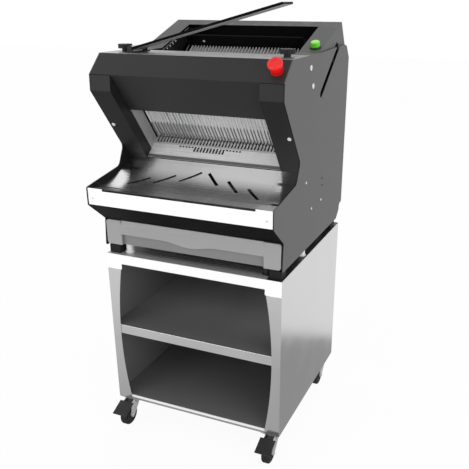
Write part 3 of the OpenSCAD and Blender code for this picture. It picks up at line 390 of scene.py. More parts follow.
standEnds = either(below("Y", standLow.y + standZones["skin"]), above("Y", standHigh.y - standZones["skin"]))
outsideStand = either(beyondSide(standHigh.x - standZones["skin"]), standEnds)
# painted reflection: the top plate's front skirt is painted matte near white instead of reflecting the bright
# room
skirtPaintedReflection = both(facing("Front"), below("Y", standLow.y + standZones["skirt"]))
# painted light: the top plate's top face is painted lighter and less metallic towards its front edge
plateFrontLight = both(facing("Top"), fade("Y", standLow.y + standZones["plateFrontLight"], standLow.y))
plateShade = both(facing("Top"), above("X", standZones["plateShade"]))
shelfEdge = below("Y", standLow.y + standZones["lip"])
# painted light: the middle shelf's top is painted lighter towards the rear, and lighter still at the right
# rear
shelfRearLight = both(facing("Top"), fade("Y", *standZones["shelfDepth"]))
shelfRightRearLight = both(shelfRearLight, fade("X", *standZones["shelfWidth"]))
lowShelfLightSplit = sum(c.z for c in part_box("bottom_shelf")) / 2  # its edge is painted bright above this, a painted highlight, and grey below, a painted reflection of the lower room

# standInsideShading is painted shade: the stand's inner faces and shelf tops in flat dull grey
standSteel = makeFinish("standSteel", standLook, [dict(standInsideShading, where=notWhere(outsideStand))])
shelfSteel = makeFinish("shelfSteel", shelfLook, [
    dict(standInsideShading, where=notWhere(shelfEdge)),
    dict(standInsideShading, tone=150, where=shelfRearLight),
    dict(standInsideShading, tone=186, where=shelfRightRearLight)])
lowShelfSteel = makeFinish("lowShelfSteel", shelfLook, [
    dict(standInsideShading, where=notWhere(shelfEdge)),
    {"where": both(shelfEdge, above("Z", lowShelfLightSplit)), "tone": 240, "metal": 0.1, "rough": 0.35},
    {"where": both(shelfEdge, below("Z", lowShelfLightSplit)), "tone": 150, "metal": 0.3, "rough": 0.4}])
topPlateSteel = makeFinish("topPlateSteel", topPlateLook, [
    {"where": skirtPaintedReflection, "tone": 250, "metal": 0.1, "rough": 0.3},
    {"where": plateFrontLight, "tone": 190, "metal": 0.2, "rough": 0.35},
    {"where": plateShade, "tone": 52, "metal": 0.3, "rough": 0.4}])
# painted shade: the back panel is dull grey on its inner face and steel only on its rear face
backSteel = makeFinish("backSteel", backInsideShadeLook, [
    {"where": above("Y", standHigh.y - standZones["back"]), "tone": 190, "metal": 0.9, "rough": 0.3}])
dress(standSteel, "stand_side_left", "stand_side_right")
dress(shelfSteel, "middle_shelf")
dress(lowShelfSteel, "bottom_shelf")
dress(topPlateSteel, "stand_top_plate")
dress(backSteel, "stand_back_panel")

# casters and small black parts
zincLook = {"tone": 214, "drift": 16, "metal": 0.75, "rough": (0.25, 0.42), "lines": speckle, "bump": 0.06}
tyreLook = {"tone": 30, "grain": 1500.0, "rough": 0.6, "bump": 0.15, "specular": 0.3, "scuffs": 0.2,
            "scuffTone": 80}
blackLook = {"tone": 17, "grain": 1800.0, "rough": 0.45, "bump": 0.1, "specular": 0.3}
pedalLook = {"tone": 38, "grain": 1800.0, "rough": 0.45, "bump": 0.1, "specular": 0.35, "scuffs": 0.1,
             "scuffTone": 90}
zincPlate = makeFinish("zincPlate", zincLook)
tyreRubber = makeFinish("tyreRubber", tyreLook)
blackPlastic = makeFinish("blackPlastic", blackLook)
pedalPlastic = makeFinish("pedalPlastic", pedalLook)
dress(zincPlate, "caster_plates", "caster_bolts")
for corner in ("fl", "fr", "rl", "rr"):
    dress(zincPlate, "caster_fork_" + corner)
    dress(tyreRubber, "caster_wheel_" + corner)
dress(pedalPlastic, "brake_pedal_left", "brake_pedal_right")
dress(blackPlastic, "clamp_knob_left", "clamp_knob_right", "power_inlet", "flap_hinge")
print("stand and casters dressed")

# casing
casingZones = {"rim": 0.0035, "aboveSlot": {"low": 0.09, "high": 0.6}, "apronLeftLight": (-0.12, -0.29),
               "footFrom": 0.2, "footTo": -0.15}
panelLook = {"tone": 93, "drift": 3, "grain": 1300.0, "rough": 0.5, "bump": 0.07, "specular": 0.25,
             "scuffs": 0.05, "scuffTone": 150}
hoodLook = {"tone": 42, "drift": 3, "grain": 1500.0, "rough": 0.45, "bump": 0.06, "specular": 0.25}
apronLook = {"tone": 14, "drift": 3, "grain": 1500.0, "rough": 0.5, "bump": 0.06, "specular": 0.03}
stripLook = {"tone": 180, "drift": 8, "metal": 0.8, "rough": (0.25, 0.4), "lines": alongX, "bump": 0.05,
             "flour": 0.1}
baseLook = {"tone": 24, "grain": 900.0, "rough": 0.5, "bump": 0.06, "specular": 0.3, "flour": 0.2}
footLook = {"tone": 20, "grain": 1500.0, "rough": 0.7, "bump": 0.2, "specular": 0.3}
levellerLook = {"tone": 238, "grain": 1500.0, "rough": 0.4, "bump": 0.05}

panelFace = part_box("side_panel_right")[1].x - casingZones["rim"]
panelTopEdge = both(facing("Top"), chuteRange(alongV, **casingZones["aboveSlot"]))  # as bright as the side
# painted shade: the panels' edges and the slot's inner walls are painted near black
panelRimShade = both(beyondSide(panelFace), notWhere(either(facing("Side"), panelTopEdge)))
shadedFoot = both(above("X", casingZones["footFrom"]), below("Y", casingZones["footTo"]))  # right front one

panelCoat = makeFinish("panelCoat", panelLook, [
    {"where": panelRimShade, "tone": 14, "rough": 0.6},
    # painted shade: the panels' inward faces are painted darker than their outer faces
    {"where": facing("Inward"), "tone": 24, "rough": 0.5}])
rearCoat = makeFinish("rearCoat", dict(panelLook, tone=91, flour=0.15), [
    # painted shade: the rear cover's faces that look forwards into the hopper or down are painted near black
    {"where": either(facing("Front"), facing("Under")), "tone": 17, "rough": 0.6}])
hoodCoat = makeFinish("hoodCoat", hoodLook)
# painted shade: the posts' front faces are painted a little darker than their other faces
postCoat = makeFinish("postCoat", dict(hoodLook, tone=33), [{"where": facing("Front"), "tone": 30}])
# painted light: the apron is painted lighter towards its left end
apronCoat = makeFinish("apronCoat", apronLook, [{"where": fade("X", *casingZones["apronLeftLight"]), "tone": 34}])
stripSteel = makeFinish("stripSteel", stripLook)
baseCoat = makeFinish("baseCoat", baseLook)
footRubber = makeFinish("footRubber", footLook)
whitePlastic = makeFinish("whitePlastic", levellerLook, [{"where": shadedFoot, "tone": 20, "rough": 0.6}])
dress(panelCoat, "side_panel_left", "side_panel_right")
dress(rearCoat, "rear_cover")
dress(hoodCoat, "hood_front")
dress(postCoat, "post_left", "post_right")
dress(apronCoat, "apron")
dress(stripSteel, "hood_top_strip")
dress(baseCoat, "base_pan")
dress(footRubber, "machine_feet")
dress(whitePlastic, "levelling_feet")

# tray, chutes and pusher
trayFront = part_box("slice_tray")[0].y
trayZones = {"faceTop": 0.875, "face": 0.003, "inside": 0.006, "lineDrop": 0.0032, "lineSkin": 0.0015,
             "lineHalf": 0.246, "rear": (-0.23, -0.14), "rightEnd": (0.21, 0.27), "leftEnd": (-0.17, -0.24)}
# the groove band is painted shade: a dark band painted across the exit sheet's flat top near its front
exitZones = {"groove": {"low": -0.0835, "high": -0.0695, "soft": 0.002},
             "slots": {"low": -0.06, "high": -0.0245}}
combFloor = {"low": -0.0008, "high": 0.02, "soft": 0.0002}
chuteWalls = {"low": 0.09, "high": 0.6, "soft": 0.03}
finReach = {"low": 0.1, "high": 0.3235, "soft": 0.0003}
trayLook = {"tone": 170, "drift": 10, "metal": 0.85, "rough": (0.2, 0.34), "lines": alongX, "bump": 0.05,
            "scuffs": 0.08, "scuffTone": 225}
exitLook = {"tone": 246, "drift": 5, "metal": 0.3, "rough": (0.22, 0.34), "lines": alongX, "bump": 0.04}
combLook = {"tone": 206, "drift": 8, "metal": 0.4, "rough": (0.3, 0.45), "lines": speckle, "bump": 0.05}
chuteLook = {"tone": 236, "drift": 8, "metal": 0.3, "rough": (0.3, 0.45), "lines": alongY, "bump": 0.05}
pusherLook = {"tone": 7, "grain": 1200.0, "rough": 0.5, "bump": 0.06, "specular": 0.08}
rodLook = {"tone": 26, "grain": 1200.0, "rough": 0.4, "bump": 0.05, "specular": 0.4}

trayEnds = either(fade("X", *trayZones["rightEnd"]), fade("X", *trayZones["leftEnd"]))
# painted light: the tray's rear, between its ends, is painted lighter and less metallic
trayRearLight = both(fade("Y", *trayZones["rear"]), notWhere(trayEnds))
# painted shade: the tray's faces behind its front that don't look up, slot walls and underside, are painted
# near black
trayInsideShade = both(notWhere(facing("Top")), above("Y", trayFront + trayZones["inside"]))
# painted light: the tray's front face is painted near white and hardly metallic
trayFaceLight = both(facing("Front"), below("Y", trayFront + trayZones["face"]))
trayEdge = both(above("Z", trayZones["faceTop"] - trayZones["lineDrop"]),
                below("Y", trayFront + trayZones["lineSkin"]))
trayLineShade = both(trayEdge, notWhere(beyondSide(trayZones["lineHalf"])))  # painted shade, dark along the face's top above the slot
exitShadeBand = both(chuteRange(alongU, **exitZones["groove"]), facing("Top"))
# painted shade: the walls of the exit sheet's slots are painted near black
exitSlotShade = both(notWhere(either(facing("Top"), facing("Side"))), chuteRange(alongU, **exitZones["slots"]))
chuteShade = both(facing("Side"), chuteRange(alongU, **chuteWalls))
pusherFins = chuteRange(alongU, **finReach)

traySteel = makeFinish("traySteel", trayLook, [
    {"where": trayRearLight, "tone": 240, "metal": 0.35, "rough": 0.34},
    {"where": trayEnds, "tone": 240, "metal": 1.0, "rough": 0.16},
    {"where": trayInsideShade, "tone": 12, "metal": 0.0, "rough": 0.7},
    {"where": trayFaceLight, "tone": 248, "metal": 0.1, "rough": 0.3},
    {"where": trayLineShade, "tone": 24, "metal": 0.0, "rough": 0.5}])
exitSteel = makeFinish("exitSteel", exitLook, [
    # painted shade: faces of the exit chute that look sideways are painted darker than its floor
    {"where": facing("Side"), "tone": 170, "metal": 0.3, "rough": 0.4},
    # painted shade band across the exit sheet's top
    {"where": exitShadeBand, "tone": 112, "metal": 0.3, "rough": 0.5},
    {"where": exitSlotShade, "tone": 14, "metal": 0.0, "rough": 0.7}])
combSteel = makeFinish("combSteel", combLook, [
    {"where": notWhere(chuteRange(alongV, **combFloor)), "tone": 14, "metal": 0.0, "rough": 0.7}])
chuteSteel = makeFinish("chuteSteel", chuteLook, [
    {"where": chuteShade, "tone": 12, "metal": 0.0, "rough": 0.5}])
pusherAlloy = makeFinish("pusherAlloy", pusherLook, [
    {"where": pusherFins, "tone": 244, "metal": 0.2, "rough": 0.35},
    # painted shade: the fins' side faces are painted darker than their edges
    {"where": both(pusherFins, facing("Side")), "tone": 215, "metal": 0.2, "rough": 0.45}])
rodCoat = makeFinish("rodCoat", rodLook)
dress(traySteel, "slice_tray")
dress(exitSteel, "exit_chute")
dress(combSteel, "blade_comb")
dress(chuteSteel, "loaf_chute")
dress(pusherAlloy, "pusher_plate")
dress(rodCoat, "pusher_rod")

# drawer, drive and controls
gripDepth = 0.006  # of the recess in the drawer's front
bladeLowShade = {"low": -0.1, "high": 0.074, "soft": 0.003}  # painted shade on the lower part of the blades
collarSplit = -0.1  # the stop button's collar lies in front of this, the start button's behind
drawerFrontLook = {"tone": 152, "drift": 4, "grain": 1600.0, "rough": 0.4, "bump": 0.06, "scuffs": 0.06,
                   "scuffTone": 190}
drawerLook = {"tone": 200, "drift": 8, "metal": 0.9, "rough": (0.3, 0.45), "lines": alongX, "bump": 0.05,
              "flour": 0.25}
machinedLook = {"tone": 170, "drift": 12, "metal": 0.9, "rough": (0.3, 0.45), "lines": alongX, "bump": 0.08}
castLook = {"tone": 140, "drift": 12, "metal": 0.7, "rough": (0.45, 0.6), "lines": castLumps, "bump": 0.2,
            "flour": 0.2}
beltLook = {"tone": 30, "grain": 1200.0, "rough": 0.7, "bump": 0.2, "specular": 0.3}
bladeFinish = {"tone": 252, "drift": 3, "metal": 0.2, "rough": (0.22, 0.36), "lines": alongX, "bump": 0.03}
redFinish = {"tone": (236, 20, 22), "drift": 6, "grain": 900.0, "rough": 0.3, "bump": 0.02}
greenFinish = {"tone": (92, 208, 30), "drift": 6, "grain": 900.0, "rough": 0.16, "spread": 0.06, "bump": 0.01,
               "specular": 0.7}
collarShadeFinish = {"tone": (30, 62, 12), "grain": 1800.0, "rough": 0.4, "bump": 0.06}
flapFinish = {"tone": 6, "grain": 1500.0, "rough": 0.6, "bump": 0.06, "specular": 0.06}
screwFinish = {"tone": 232, "drift": 6, "metal": 0.5, "rough": (0.2, 0.3), "lines": speckle, "bump": 0.03}

drawerPlastic = makeFinish("drawerPlastic", drawerFrontLook, [
    # painted shade: the recessed grip, deeper than gripDepth, is painted darker than the drawer front
    {"where": above("Y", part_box("drawer_front")[0].y + gripDepth), "tone": 123}])
drawerSteel = makeFinish("drawerSteel", drawerLook)
machinedSteel = makeFinish("machinedSteel", machinedLook)
castAlloy = makeFinish("castAlloy", castLook)
beltRubber = makeFinish("beltRubber", beltLook)
bladeSteel = makeFinish("bladeSteel", bladeFinish, [
    # painted shade: the blades' lower part is painted darker and duller
    {"where": chuteRange(alongV, **bladeLowShade), "tone": 140, "metal": 0.3, "rough": 0.45}])
stopRed = makeFinish("stopRed", redFinish)
# painted highlight: the start cap's upward faces are painted a lighter green
startGreen = makeFinish("startGreen", greenFinish, [{"where": facing("Top"), "tone": (166, 252, 100)}])
# painted shade: the collars are painted in the buttons' tinted shade, dark green round the start cap and red
# round the stop head
collarPlastic = makeFinish("collarPlastic", collarShadeFinish, [
    {"where": below("Y", collarSplit), "tone": (205, 14, 16)}])
# painted light: the black flap's top faces are painted light and its underside grey
flapBlack = makeFinish("flapBlack", flapFinish, [
    {"where": facing("Top"), "tone": 200, "metal": 0.6, "rough": 0.3},
    {"where": facing("Under"), "tone": 172, "rough": 0.5}])
screwSteel = makeFinish("screwSteel", screwFinish)
dress(drawerSteel, "crumb_drawer")
dress(drawerPlastic, "drawer_front")
dress(bladeSteel, "blade_set_front", "blade_set_rear")
dress(machinedSteel, "blade_frame_front", "blade_frame_rear", "guide_rods", "rod_blocks", "bearing_blocks",
      "connecting_rod_front", "connecting_rod_rear", "crank_shaft", "motor_pulley")
dress(castAlloy, "motor", "control_box")
dress(beltRubber, "drive_belt")
dress(stopRed, "stop_button")
dress(startGreen, "start_button")
dress(collarPlastic, "button_collars")
dress(flapBlack, "hold_down_flap")
dress(screwSteel, "panel_screws")
print("machine dressed")

# sheet edges caught by the light: weld the loose triangles, then a fine bevel
edgeLook = {"weld": 0.00002, "segments": 2, "angle": 40}
edgeWidths = {"drawer_front": 0.0012, "hood_front": 0.0008, "post_left": 0.0008, "post_right": 0.0008,
              "slice_tray": 0.0005, "stand_top_plate": 0.0008, "middle_shelf": 0.0008, "bottom_shelf": 0.0008,
              "stand_side_left": 0.0006, "stand_side_right": 0.0006, "hold_down_flap": 0.0006,
              "brake_pedal_left": 0.0008, "brake_pedal_right": 0.0008, "machine_feet": 0.0015,
              "hood_top_strip": 0.0005, "rear_cover": 0.0005, "apron": 0.0005}
for nodeName, width in edgeWidths.items():
    weld = cadNodes[nodeName].modifiers.new("joinTriangles", "WELD")
    weld.merge_threshold = edgeLook["weld"]
    bevel = cadNodes[nodeName].modifiers.new("softEdge", "BEVEL")
    bevel.width = width
    bevel.segments = edgeLook["segments"]
    bevel.limit_method = "ANGLE"
    bevel.angle_limit = math.radians(edgeLook["angle"])
print("edges softened on", len(edgeWidths), "nodes")

# modelling helpers
mergeReach = 0.000005  # doubles closer than this are merged
rimReach = {"level": 0.00002, "radius": 0.00005}  # how near a rim's edges lie to its height and radius


def startPiece(adder, name, **settings):
    bpy.ops.object.select_all(action="DESELECT")
    adder(**settings)
    piece = bpy.context.object
    piece.name = name
    piece.data.name = name
    return piece


def startCylinder(name, sides, radius, low, high):  # stands on z, from low to high
    piece = startPiece(bpy.ops.mesh.primitive_cylinder_add, name, vertices=sides, radius=radius,
                       depth=high - low, location=(0, 0, (low + high) / 2))
    bpy.ops.object.transform_apply(location=True, rotation=False, scale=False)
    return piece


def objectMode():
    bpy.ops.object.mode_set(mode="OBJECT")


def editSelect(piece, kind, test):  # selects faces, edges or vertices by their place
    bpy.ops.object.mode_set(mode="EDIT")
    bpy.ops.mesh.select_mode(type=kind)
    bpy.ops.mesh.select_all(action="DESELECT")
    objectMode()
    mesh = piece.data
    parts = {"FACE": mesh.polygons, "EDGE": mesh.edges, "VERT": mesh.vertices}[kind]
    for part in parts:
        part.select = bool(test(part))
    bpy.ops.object.mode_set(mode="EDIT")


def looksUp(face):
    return face.normal.z > 0.9


def edgeEnds(piece, edge):
    return [piece.data.vertices[i].co for i in edge.vertices]


def growTop(high, scale):  # carries the selected top face up or down and widens it
    bpy.ops.mesh.extrude_region_move(TRANSFORM_OT_translate={"value": (0, 0, high)})
    bpy.ops.transform.resize(value=(scale, scale, 1), center_override=(0, 0, 0))


def bevelSelected(width, segments):
    bpy.ops.mesh.bevel(offset=width, segments=segments, affect="EDGES")
    objectMode()


def roundRim(piece, level, radius, width, segments):
    def onRim(spot):
        return abs(spot.z - level) < rimReach["level"] and abs(spot.xy.length - radius) < rimReach["radius"]
    editSelect(piece, "EDGE", lambda e: all(onRim(c) for c in edgeEnds(piece, e)))
    bevelSelected(width, segments)


def selectOnly(piece):
    bpy.ops.object.select_all(action="DESELECT")
    piece.select_set(True)
    bpy.context.view_layer.objects.active = piece


def placeCopy(pattern, name, matrix):  # a copy with its own mesh, its place put into the mesh
    copy = pattern.copy()
    copy.data = pattern.data.copy()
    copy.name = name
    copy.data.name = name
    bpy.context.collection.objects.link(copy)
    copy.matrix_world = matrix
    selectOnly(copy)
    bpy.ops.object.transform_apply(location=True, rotation=True, scale=True)
    return copy


def joinPieces(pieces, name):
    selectOnly(pieces[0])
    for piece in pieces:
        piece.select_set(True)
    bpy.ops.object.join()
    pieces[0].name = name
    pieces[0].data.name = name
    return pieces[0]


def finishPiece(piece, material, body, angle=40):
    piece.data.materials.clear()
    piece.data.materials.append(material)
    selectOnly(piece)
    bpy.ops.object.mode_set(mode="EDIT")
    bpy.ops.mesh.select_all(action="SELECT")
    bpy.ops.mesh.remove_doubles(threshold=mergeReach)
    bpy.ops.mesh.normals_make_consistent(inside=False)
    objectMode()
    bpy.ops.object.shade_smooth_by_angle(angle=math.radians(angle))
    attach(piece, body)


def aimed(at, normal):  # z of a pattern along the normal
    return Matrix.Translation(at) @ Vector(normal).to_track_quat("Z", "Y").to_matrix().to_4x4()


# blades with a ground, scalloped edge towards the loaf
bladeLook = {"pitch": 0.011, "half": 20, "thick": 0.0008, "wide": 0.007, "low": -0.060, "top": 0.262,
             "row": 0.001, "teeth": 46, "toothDepth": 0.0013, "grind": 0.3}


def buildBladePattern(look):
    length = look["top"] - look["low"]
    blade = startPiece(bpy.ops.mesh.primitive_cube_add, "bladePattern", size=1.0)
    blade.scale = (look["thick"], look["wide"], length)
    bpy.ops.object.transform_apply(location=False, rotation=False, scale=True)
    editSelect(blade, "EDGE", lambda e: abs(edgeEnds(blade, e)[0].z - edgeEnds(blade, e)[1].z) > length / 2)
    bpy.ops.mesh.subdivide(number_cuts=look["teeth"] * 2 - 1)
    step = length / (look["teeth"] * 2)
    edge = look["wide"] / 2
    nearEdge = edge * 0.9
    editSelect(blade, "VERT", lambda v: v.co.y > nearEdge)
    bpy.ops.transform.resize(value=(look["grind"], 1, 1), center_override=(0, edge, 0))
    editSelect(blade, "VERT", lambda v: v.co.y > nearEdge and round((v.co.z + length / 2) / step) % 2 == 0)
    bpy.ops.transform.translate(value=(0, -look["toothDepth"], 0))
    objectMode()
    return blade


bladePattern = buildBladePattern(bladeLook)
bladeMiddle = (bladeLook["top"] + bladeLook["low"]) / 2
tilt = Matrix.Rotation(chuteTurn, 4, "X")
for setName, body, side, first in (("front", "front_blades", -1, 0), ("rear", "rear_blades", 1, 1)):
    made = []
    for k in range(first - bladeLook["half"], bladeLook["half"] + 1, 2):
        spot = inChute(k * bladeLook["pitch"], side * bladeLook["row"], bladeMiddle)
        made.append(placeCopy(bladePattern, "blade", Matrix.Translation(spot) @ tilt))
    blades = joinPieces(made, setName + "_scalloped_blades")
    finishPiece(blades, bladeSteel, body, angle=25)
    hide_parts("blade_set_" + setName)
bpy.data.objects.remove(bladePattern)
print("blades ground")

# domed screw heads with a socket
screwLook = {"sides": 24, "dome": 0.35, "domeSteps": 3, "socket": 0.55, "deep": 0.5, "taper": 0.9}
screwSizes = {"big": (0.008, 0.0025), "small": (0.004, 0.0025), "post": (0.006, 0.0025),
              "lip": (0.004, 0.0015), "wall": (0.003, 0.0012)}  # radius and height
caseSpots = {"side": 0.3, "big": ((-0.0647, 1.2159), (-0.0407, 1.1637)),
             "small": ((-0.0755, 0.8882), (0.0805, 0.7943), (-0.0167, 0.792)),
             "post": (0.286, -0.1891, 1.0391), "lip": (0.279, -0.3335, 0.845)}
wallSpots = {"wall": 0.230, "along": (0.237, 0.256, 0.275, 0.294), "start": 0.184, "high": 0.178,
             "drop": 72 / 211}  # a row along the chute wall's sloping upper edge
pusherSpot = (-0.144, 0.324, 0.1175)  # in the chute frame


def buildScrewPattern(name, radius, height, look):
    screw = startCylinder(name, look["sides"], radius, 0, height)
    editSelect(screw, "FACE", looksUp)
    bpy.ops.mesh.inset(thickness=radius * (1 - look["socket"]))
    growTop(-height * look["deep"], look["taper"])
    objectMode()
    roundRim(screw, height, radius, height * look["dome"], look["domeSteps"])
    return screw


screwPatterns = {key: buildScrewPattern(key + "Screw", radius, height, screwLook)
                 for key, (radius, height) in screwSizes.items()}
caseScrews = []
wallScrews = []
for hand in (-1, 1):
    for key in ("big", "small"):
        for y, z in caseSpots[key]:
            place = aimed((hand * caseSpots["side"], y, z), (hand, 0, 0))
            caseScrews.append(placeCopy(screwPatterns[key], "caseScrew", place))
    for key, normal in (("post", -alongU), ("lip", (0, -1, 0))):
        x, y, z = caseSpots[key]
        caseScrews.append(placeCopy(screwPatterns[key], "caseScrew", aimed((hand * x, y, z), normal)))
    for u in wallSpots["along"]:
        v = wallSpots["high"] - (u - wallSpots["start"]) * wallSpots["drop"]
        place = aimed(inChute(hand * wallSpots["wall"], u, v), (-hand, 0, 0))
        wallScrews.append(placeCopy(screwPatterns["wall"], "chuteScrew", place))
screws = joinPieces(caseScrews, "panel_screw_heads")
finishPiece(screws, screwSteel, "frame")
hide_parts("panel_screws")
finishPiece(joinPieces(wallScrews, "chute_wall_screws"), screwSteel, "frame")
pusherScrew = placeCopy(screwPatterns["lip"], "pusher_plate_screw", aimed(inChute(*pusherSpot), -alongU))
finishPiece(pusherScrew, screwSteel, "pusher")
for pattern in screwPatterns.values():
    bpy.data.objects.remove(pattern)
print("screws set")

# strips that close the groove between the side panels' rising top edges and the head
sealLook = {"inner": 0.2931, "outer": 0.2969, "front": 0.0285, "rear": 0.195, "low": 1.249,
            "frontHigh": 0.0002, "rearHigh": 0.0058, "edge": 0.0003, "edgeSteps": 2}
sealCoat = makeFinish("sealCoat", panelLook)


def buildSealPattern(look):
    middle = [(look[a] + look[b]) / 2 for a, b in (("inner", "outer"), ("front", "rear"))]
    seal = startPiece(bpy.ops.mesh.primitive_cube_add, "sealPattern", size=1.0,
                      location=(*middle, look["low"] + look["rearHigh"] / 2))
    seal.scale = (look["outer"] - look["inner"], look["rear"] - look["front"], look["rearHigh"])
    bpy.ops.object.transform_apply(location=True, rotation=False, scale=True)
    editSelect(seal, "VERT", lambda v: v.co.z > look["low"] + look["rearHigh"] / 2 and v.co.y < middle[1])
    bpy.ops.transform.translate(value=(0, 0, look["frontHigh"] - look["rearHigh"]))
    objectMode()
    foot = look["low"] + look["frontHigh"] / 2
    editSelect(seal, "EDGE", lambda e: all(c.z > foot for c in edgeEnds(seal, e))
               and abs(edgeEnds(seal, e)[0].y - edgeEnds(seal, e)[1].y) > look["edge"])
    bevelSelected(look["edge"], look["edgeSteps"])
    return seal


sealPattern = buildSealPattern(sealLook)
seals = [placeCopy(sealPattern, "seal", Matrix.Scale(hand, 4, (1, 0, 0))) for hand in (-1, 1)]
finishPiece(joinPieces(seals, "cheek_seals"), sealCoat, "frame")
bpy.data.objects.remove(sealPattern)
print("cheek grooves closed")

# buttons: a mushroom head on a skirt and a domed cap, both in their collars
stopLook = {"at": (0.268, -0.2415, 1.222), "normal": (0, -0.6814, 0.7319), "sides": 64, "low": 0.0063,
            "skirtLow": 0.0118, "headLow": 0.021, "top": 0.034, "stem": 0.013, "skirt": 0.0155, "neck": 0.017,
            "head": 0.0205, "rim": 0.0058, "rimSteps": 6, "underRim": 0.003, "underSteps": 4, "dish": 0.0006,
            "dishIn": 0.0075, "flat": 0.99, "flatReach": 0.0001}
startLook = {"at": (0.271, 0.0615, 1.2605), "normal": (0, -0.3212, 0.947), "sides": 48, "low": 0.0047,
             "top": 0.0197, "radius": 0.014, "shoulder": 0.0052, "shoulderSteps": 8, "groove": 0.0005,
             "grooveAt": 0.0085, "grooveHigh": 0.0012}


def buildStopHead(look):
    button = startCylinder("stopPattern", look["sides"], look["stem"], look["low"], look["skirtLow"])
    editSelect(button, "FACE", looksUp)
    growTop(0, look["skirt"] / look["stem"])
    growTop(look["headLow"] - look["skirtLow"], look["neck"] / look["skirt"])
    growTop(0, look["head"] / look["neck"])
    growTop(look["top"] - look["headLow"], 1)
    objectMode()
    roundRim(button, look["top"], look["head"], look["rim"], look["rimSteps"])
    roundRim(button, look["headLow"], look["head"], look["underRim"], look["underSteps"])
    editSelect(button, "FACE", lambda f: f.normal.z > look["flat"]
               and f.center.z > look["top"] - look["flatReach"])
    bpy.ops.mesh.inset(thickness=look["dishIn"])
    bpy.ops.transform.translate(value=(0, 0, -look["dish"]))
    objectMode()
    return button


def buildStartCap(look):
    cap = startCylinder("startPattern", look["sides"], look["radius"], look["low"], look["grooveAt"])
    waist = 1 - look["groove"] / look["radius"]
    editSelect(cap, "FACE", looksUp)
    growTop(0, waist)
    growTop(look["grooveHigh"], 1)
    growTop(0, 1 / waist)
    growTop(look["top"] - look["grooveAt"] - look["grooveHigh"], 1)
    objectMode()
    roundRim(cap, look["top"], look["radius"], look["shoulder"], look["shoulderSteps"])
    return cap


for name, pattern, look, material, body, slot in (
        ("stop_mushroom", buildStopHead(stopLook), stopLook, stopRed, "stop", "stop_red"),
        ("start_cap", buildStartCap(startLook), startLook, startGreen, "start", "start_green")):
    button = placeCopy(pattern, name, aimed(look["at"], look["normal"]))
    finishPiece(button, material, body, angle=35)
    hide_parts(body + "_button")
    bpy.data.objects.remove(pattern)
print("buttons modelled")

# caster trim: a raised ring on each wheel side and a cap nut on each axle end
ringLook = {"outer": 0.027, "inner": 0.021, "high": 0.0014, "face": 0.012, "sides": 40, "deep": 0.8,
            "round": 0.4, "roundSteps": 2, "reach": 0.0001}
nutLook = {"sides": 6, "radius": 0.0075, "high": 0.0045, "face": 0.018, "neck": 0.0055, "hexShare": 0.6,
           "taper": 0.8, "edge": 0.0004, "edgeSteps": 2}
casterSpots = {"fl": (-0.266, -0.2685), "fr": (0.266, -0.2685), "rl": (-0.266, 0.2375), "rr": (0.266, 0.2375)}
axleHeight = 0.0375


def buildRingPattern(look):
    ring = startCylinder("ringPattern", look["sides"], look["outer"], 0, look["high"])

    def onRims(edge):  # the outer and the inner one
        first, second = edgeEnds(ring, edge)
        level = abs(first.xy.length - second.xy.length) < look["reach"]
        return level and min(first.z, second.z) > look["high"] - look["reach"]

    editSelect(ring, "FACE", looksUp)
    bpy.ops.mesh.inset(thickness=look["outer"] - look["inner"])
    growTop(-look["high"] * look["deep"], 1)
    objectMode()
    editSelect(ring, "EDGE", onRims)
    bevelSelected(look["high"] * look["round"], look["roundSteps"])
    return ring


def buildNutPattern(look):
    nut = startCylinder("nutPattern", look["sides"], look["radius"], 0, look["high"] * look["hexShare"])
    editSelect(nut, "FACE", looksUp)
    bpy.ops.mesh.inset(thickness=look["radius"] - look["neck"])
    growTop(look["high"] * (1 - look["hexShare"]), look["taper"])
    objectMode()
    editSelect(nut, "EDGE", lambda e: True)
    bevelSelected(look["edge"], look["edgeSteps"])
    return nut


def bothSides(pattern, x, y, look):  # one copy on each side of a wheel
    return [placeCopy(pattern, "trim", aimed((x + hand * look["face"], y, axleHeight), (hand, 0, 0)))
            for hand in (-1, 1)]


ringPattern = buildRingPattern(ringLook)
nutPattern = buildNutPattern(nutLook)
for corner, (x, y) in casterSpots.items():
    rings = joinPieces(bothSides(ringPattern, x, y, ringLook), "wheel_rings_" + corner)
    finishPiece(rings, blackPlastic, "wheel_" + corner)
    nuts = joinPieces(bothSides(nutPattern, x, y, nutLook), "axle_nuts_" + corner)
    finishPiece(nuts, zincPlate, "caster_" + corner, angle=30)
bpy.data.objects.remove(ringPattern)
bpy.data.objects.remove(nutPattern)
print("casters trimmed")

# floor, light and camera
floorLook = {"size": 30.0, "drop": 0.0005, "tone": 255, "glow": 0.94}
worldLook = {"fill": 0.8, "horizon": 0.4794, "sky": 0.9, "skyAt": 0.5, "turn": 0.4,
             "front": {"low": 0.46, "mid": 0.74, "soft": 0.03},
             "rear": {"low": 0.33, "mid": 0.82, "soft": 0.002}}
lamps = {
    "keyLamp": {"at": (2.6, -2.0, 1.5), "aim": (0, 0, 0.75), "size": 1.8, "power": 20.0},
    "frontLamp": {"at": (-1.6, -3.0, 1.3), "aim": (0, 0, 0.75), "size": 2.0, "power": 22.0},
}
cameraLook = {"at": (0.8843, -1.8539, 1.3986), "tilt": 67.38, "turn": 23.08, "lens": 49.52, "sensor": 36.0,
              "shift": (-0.0377, 0.0667)}


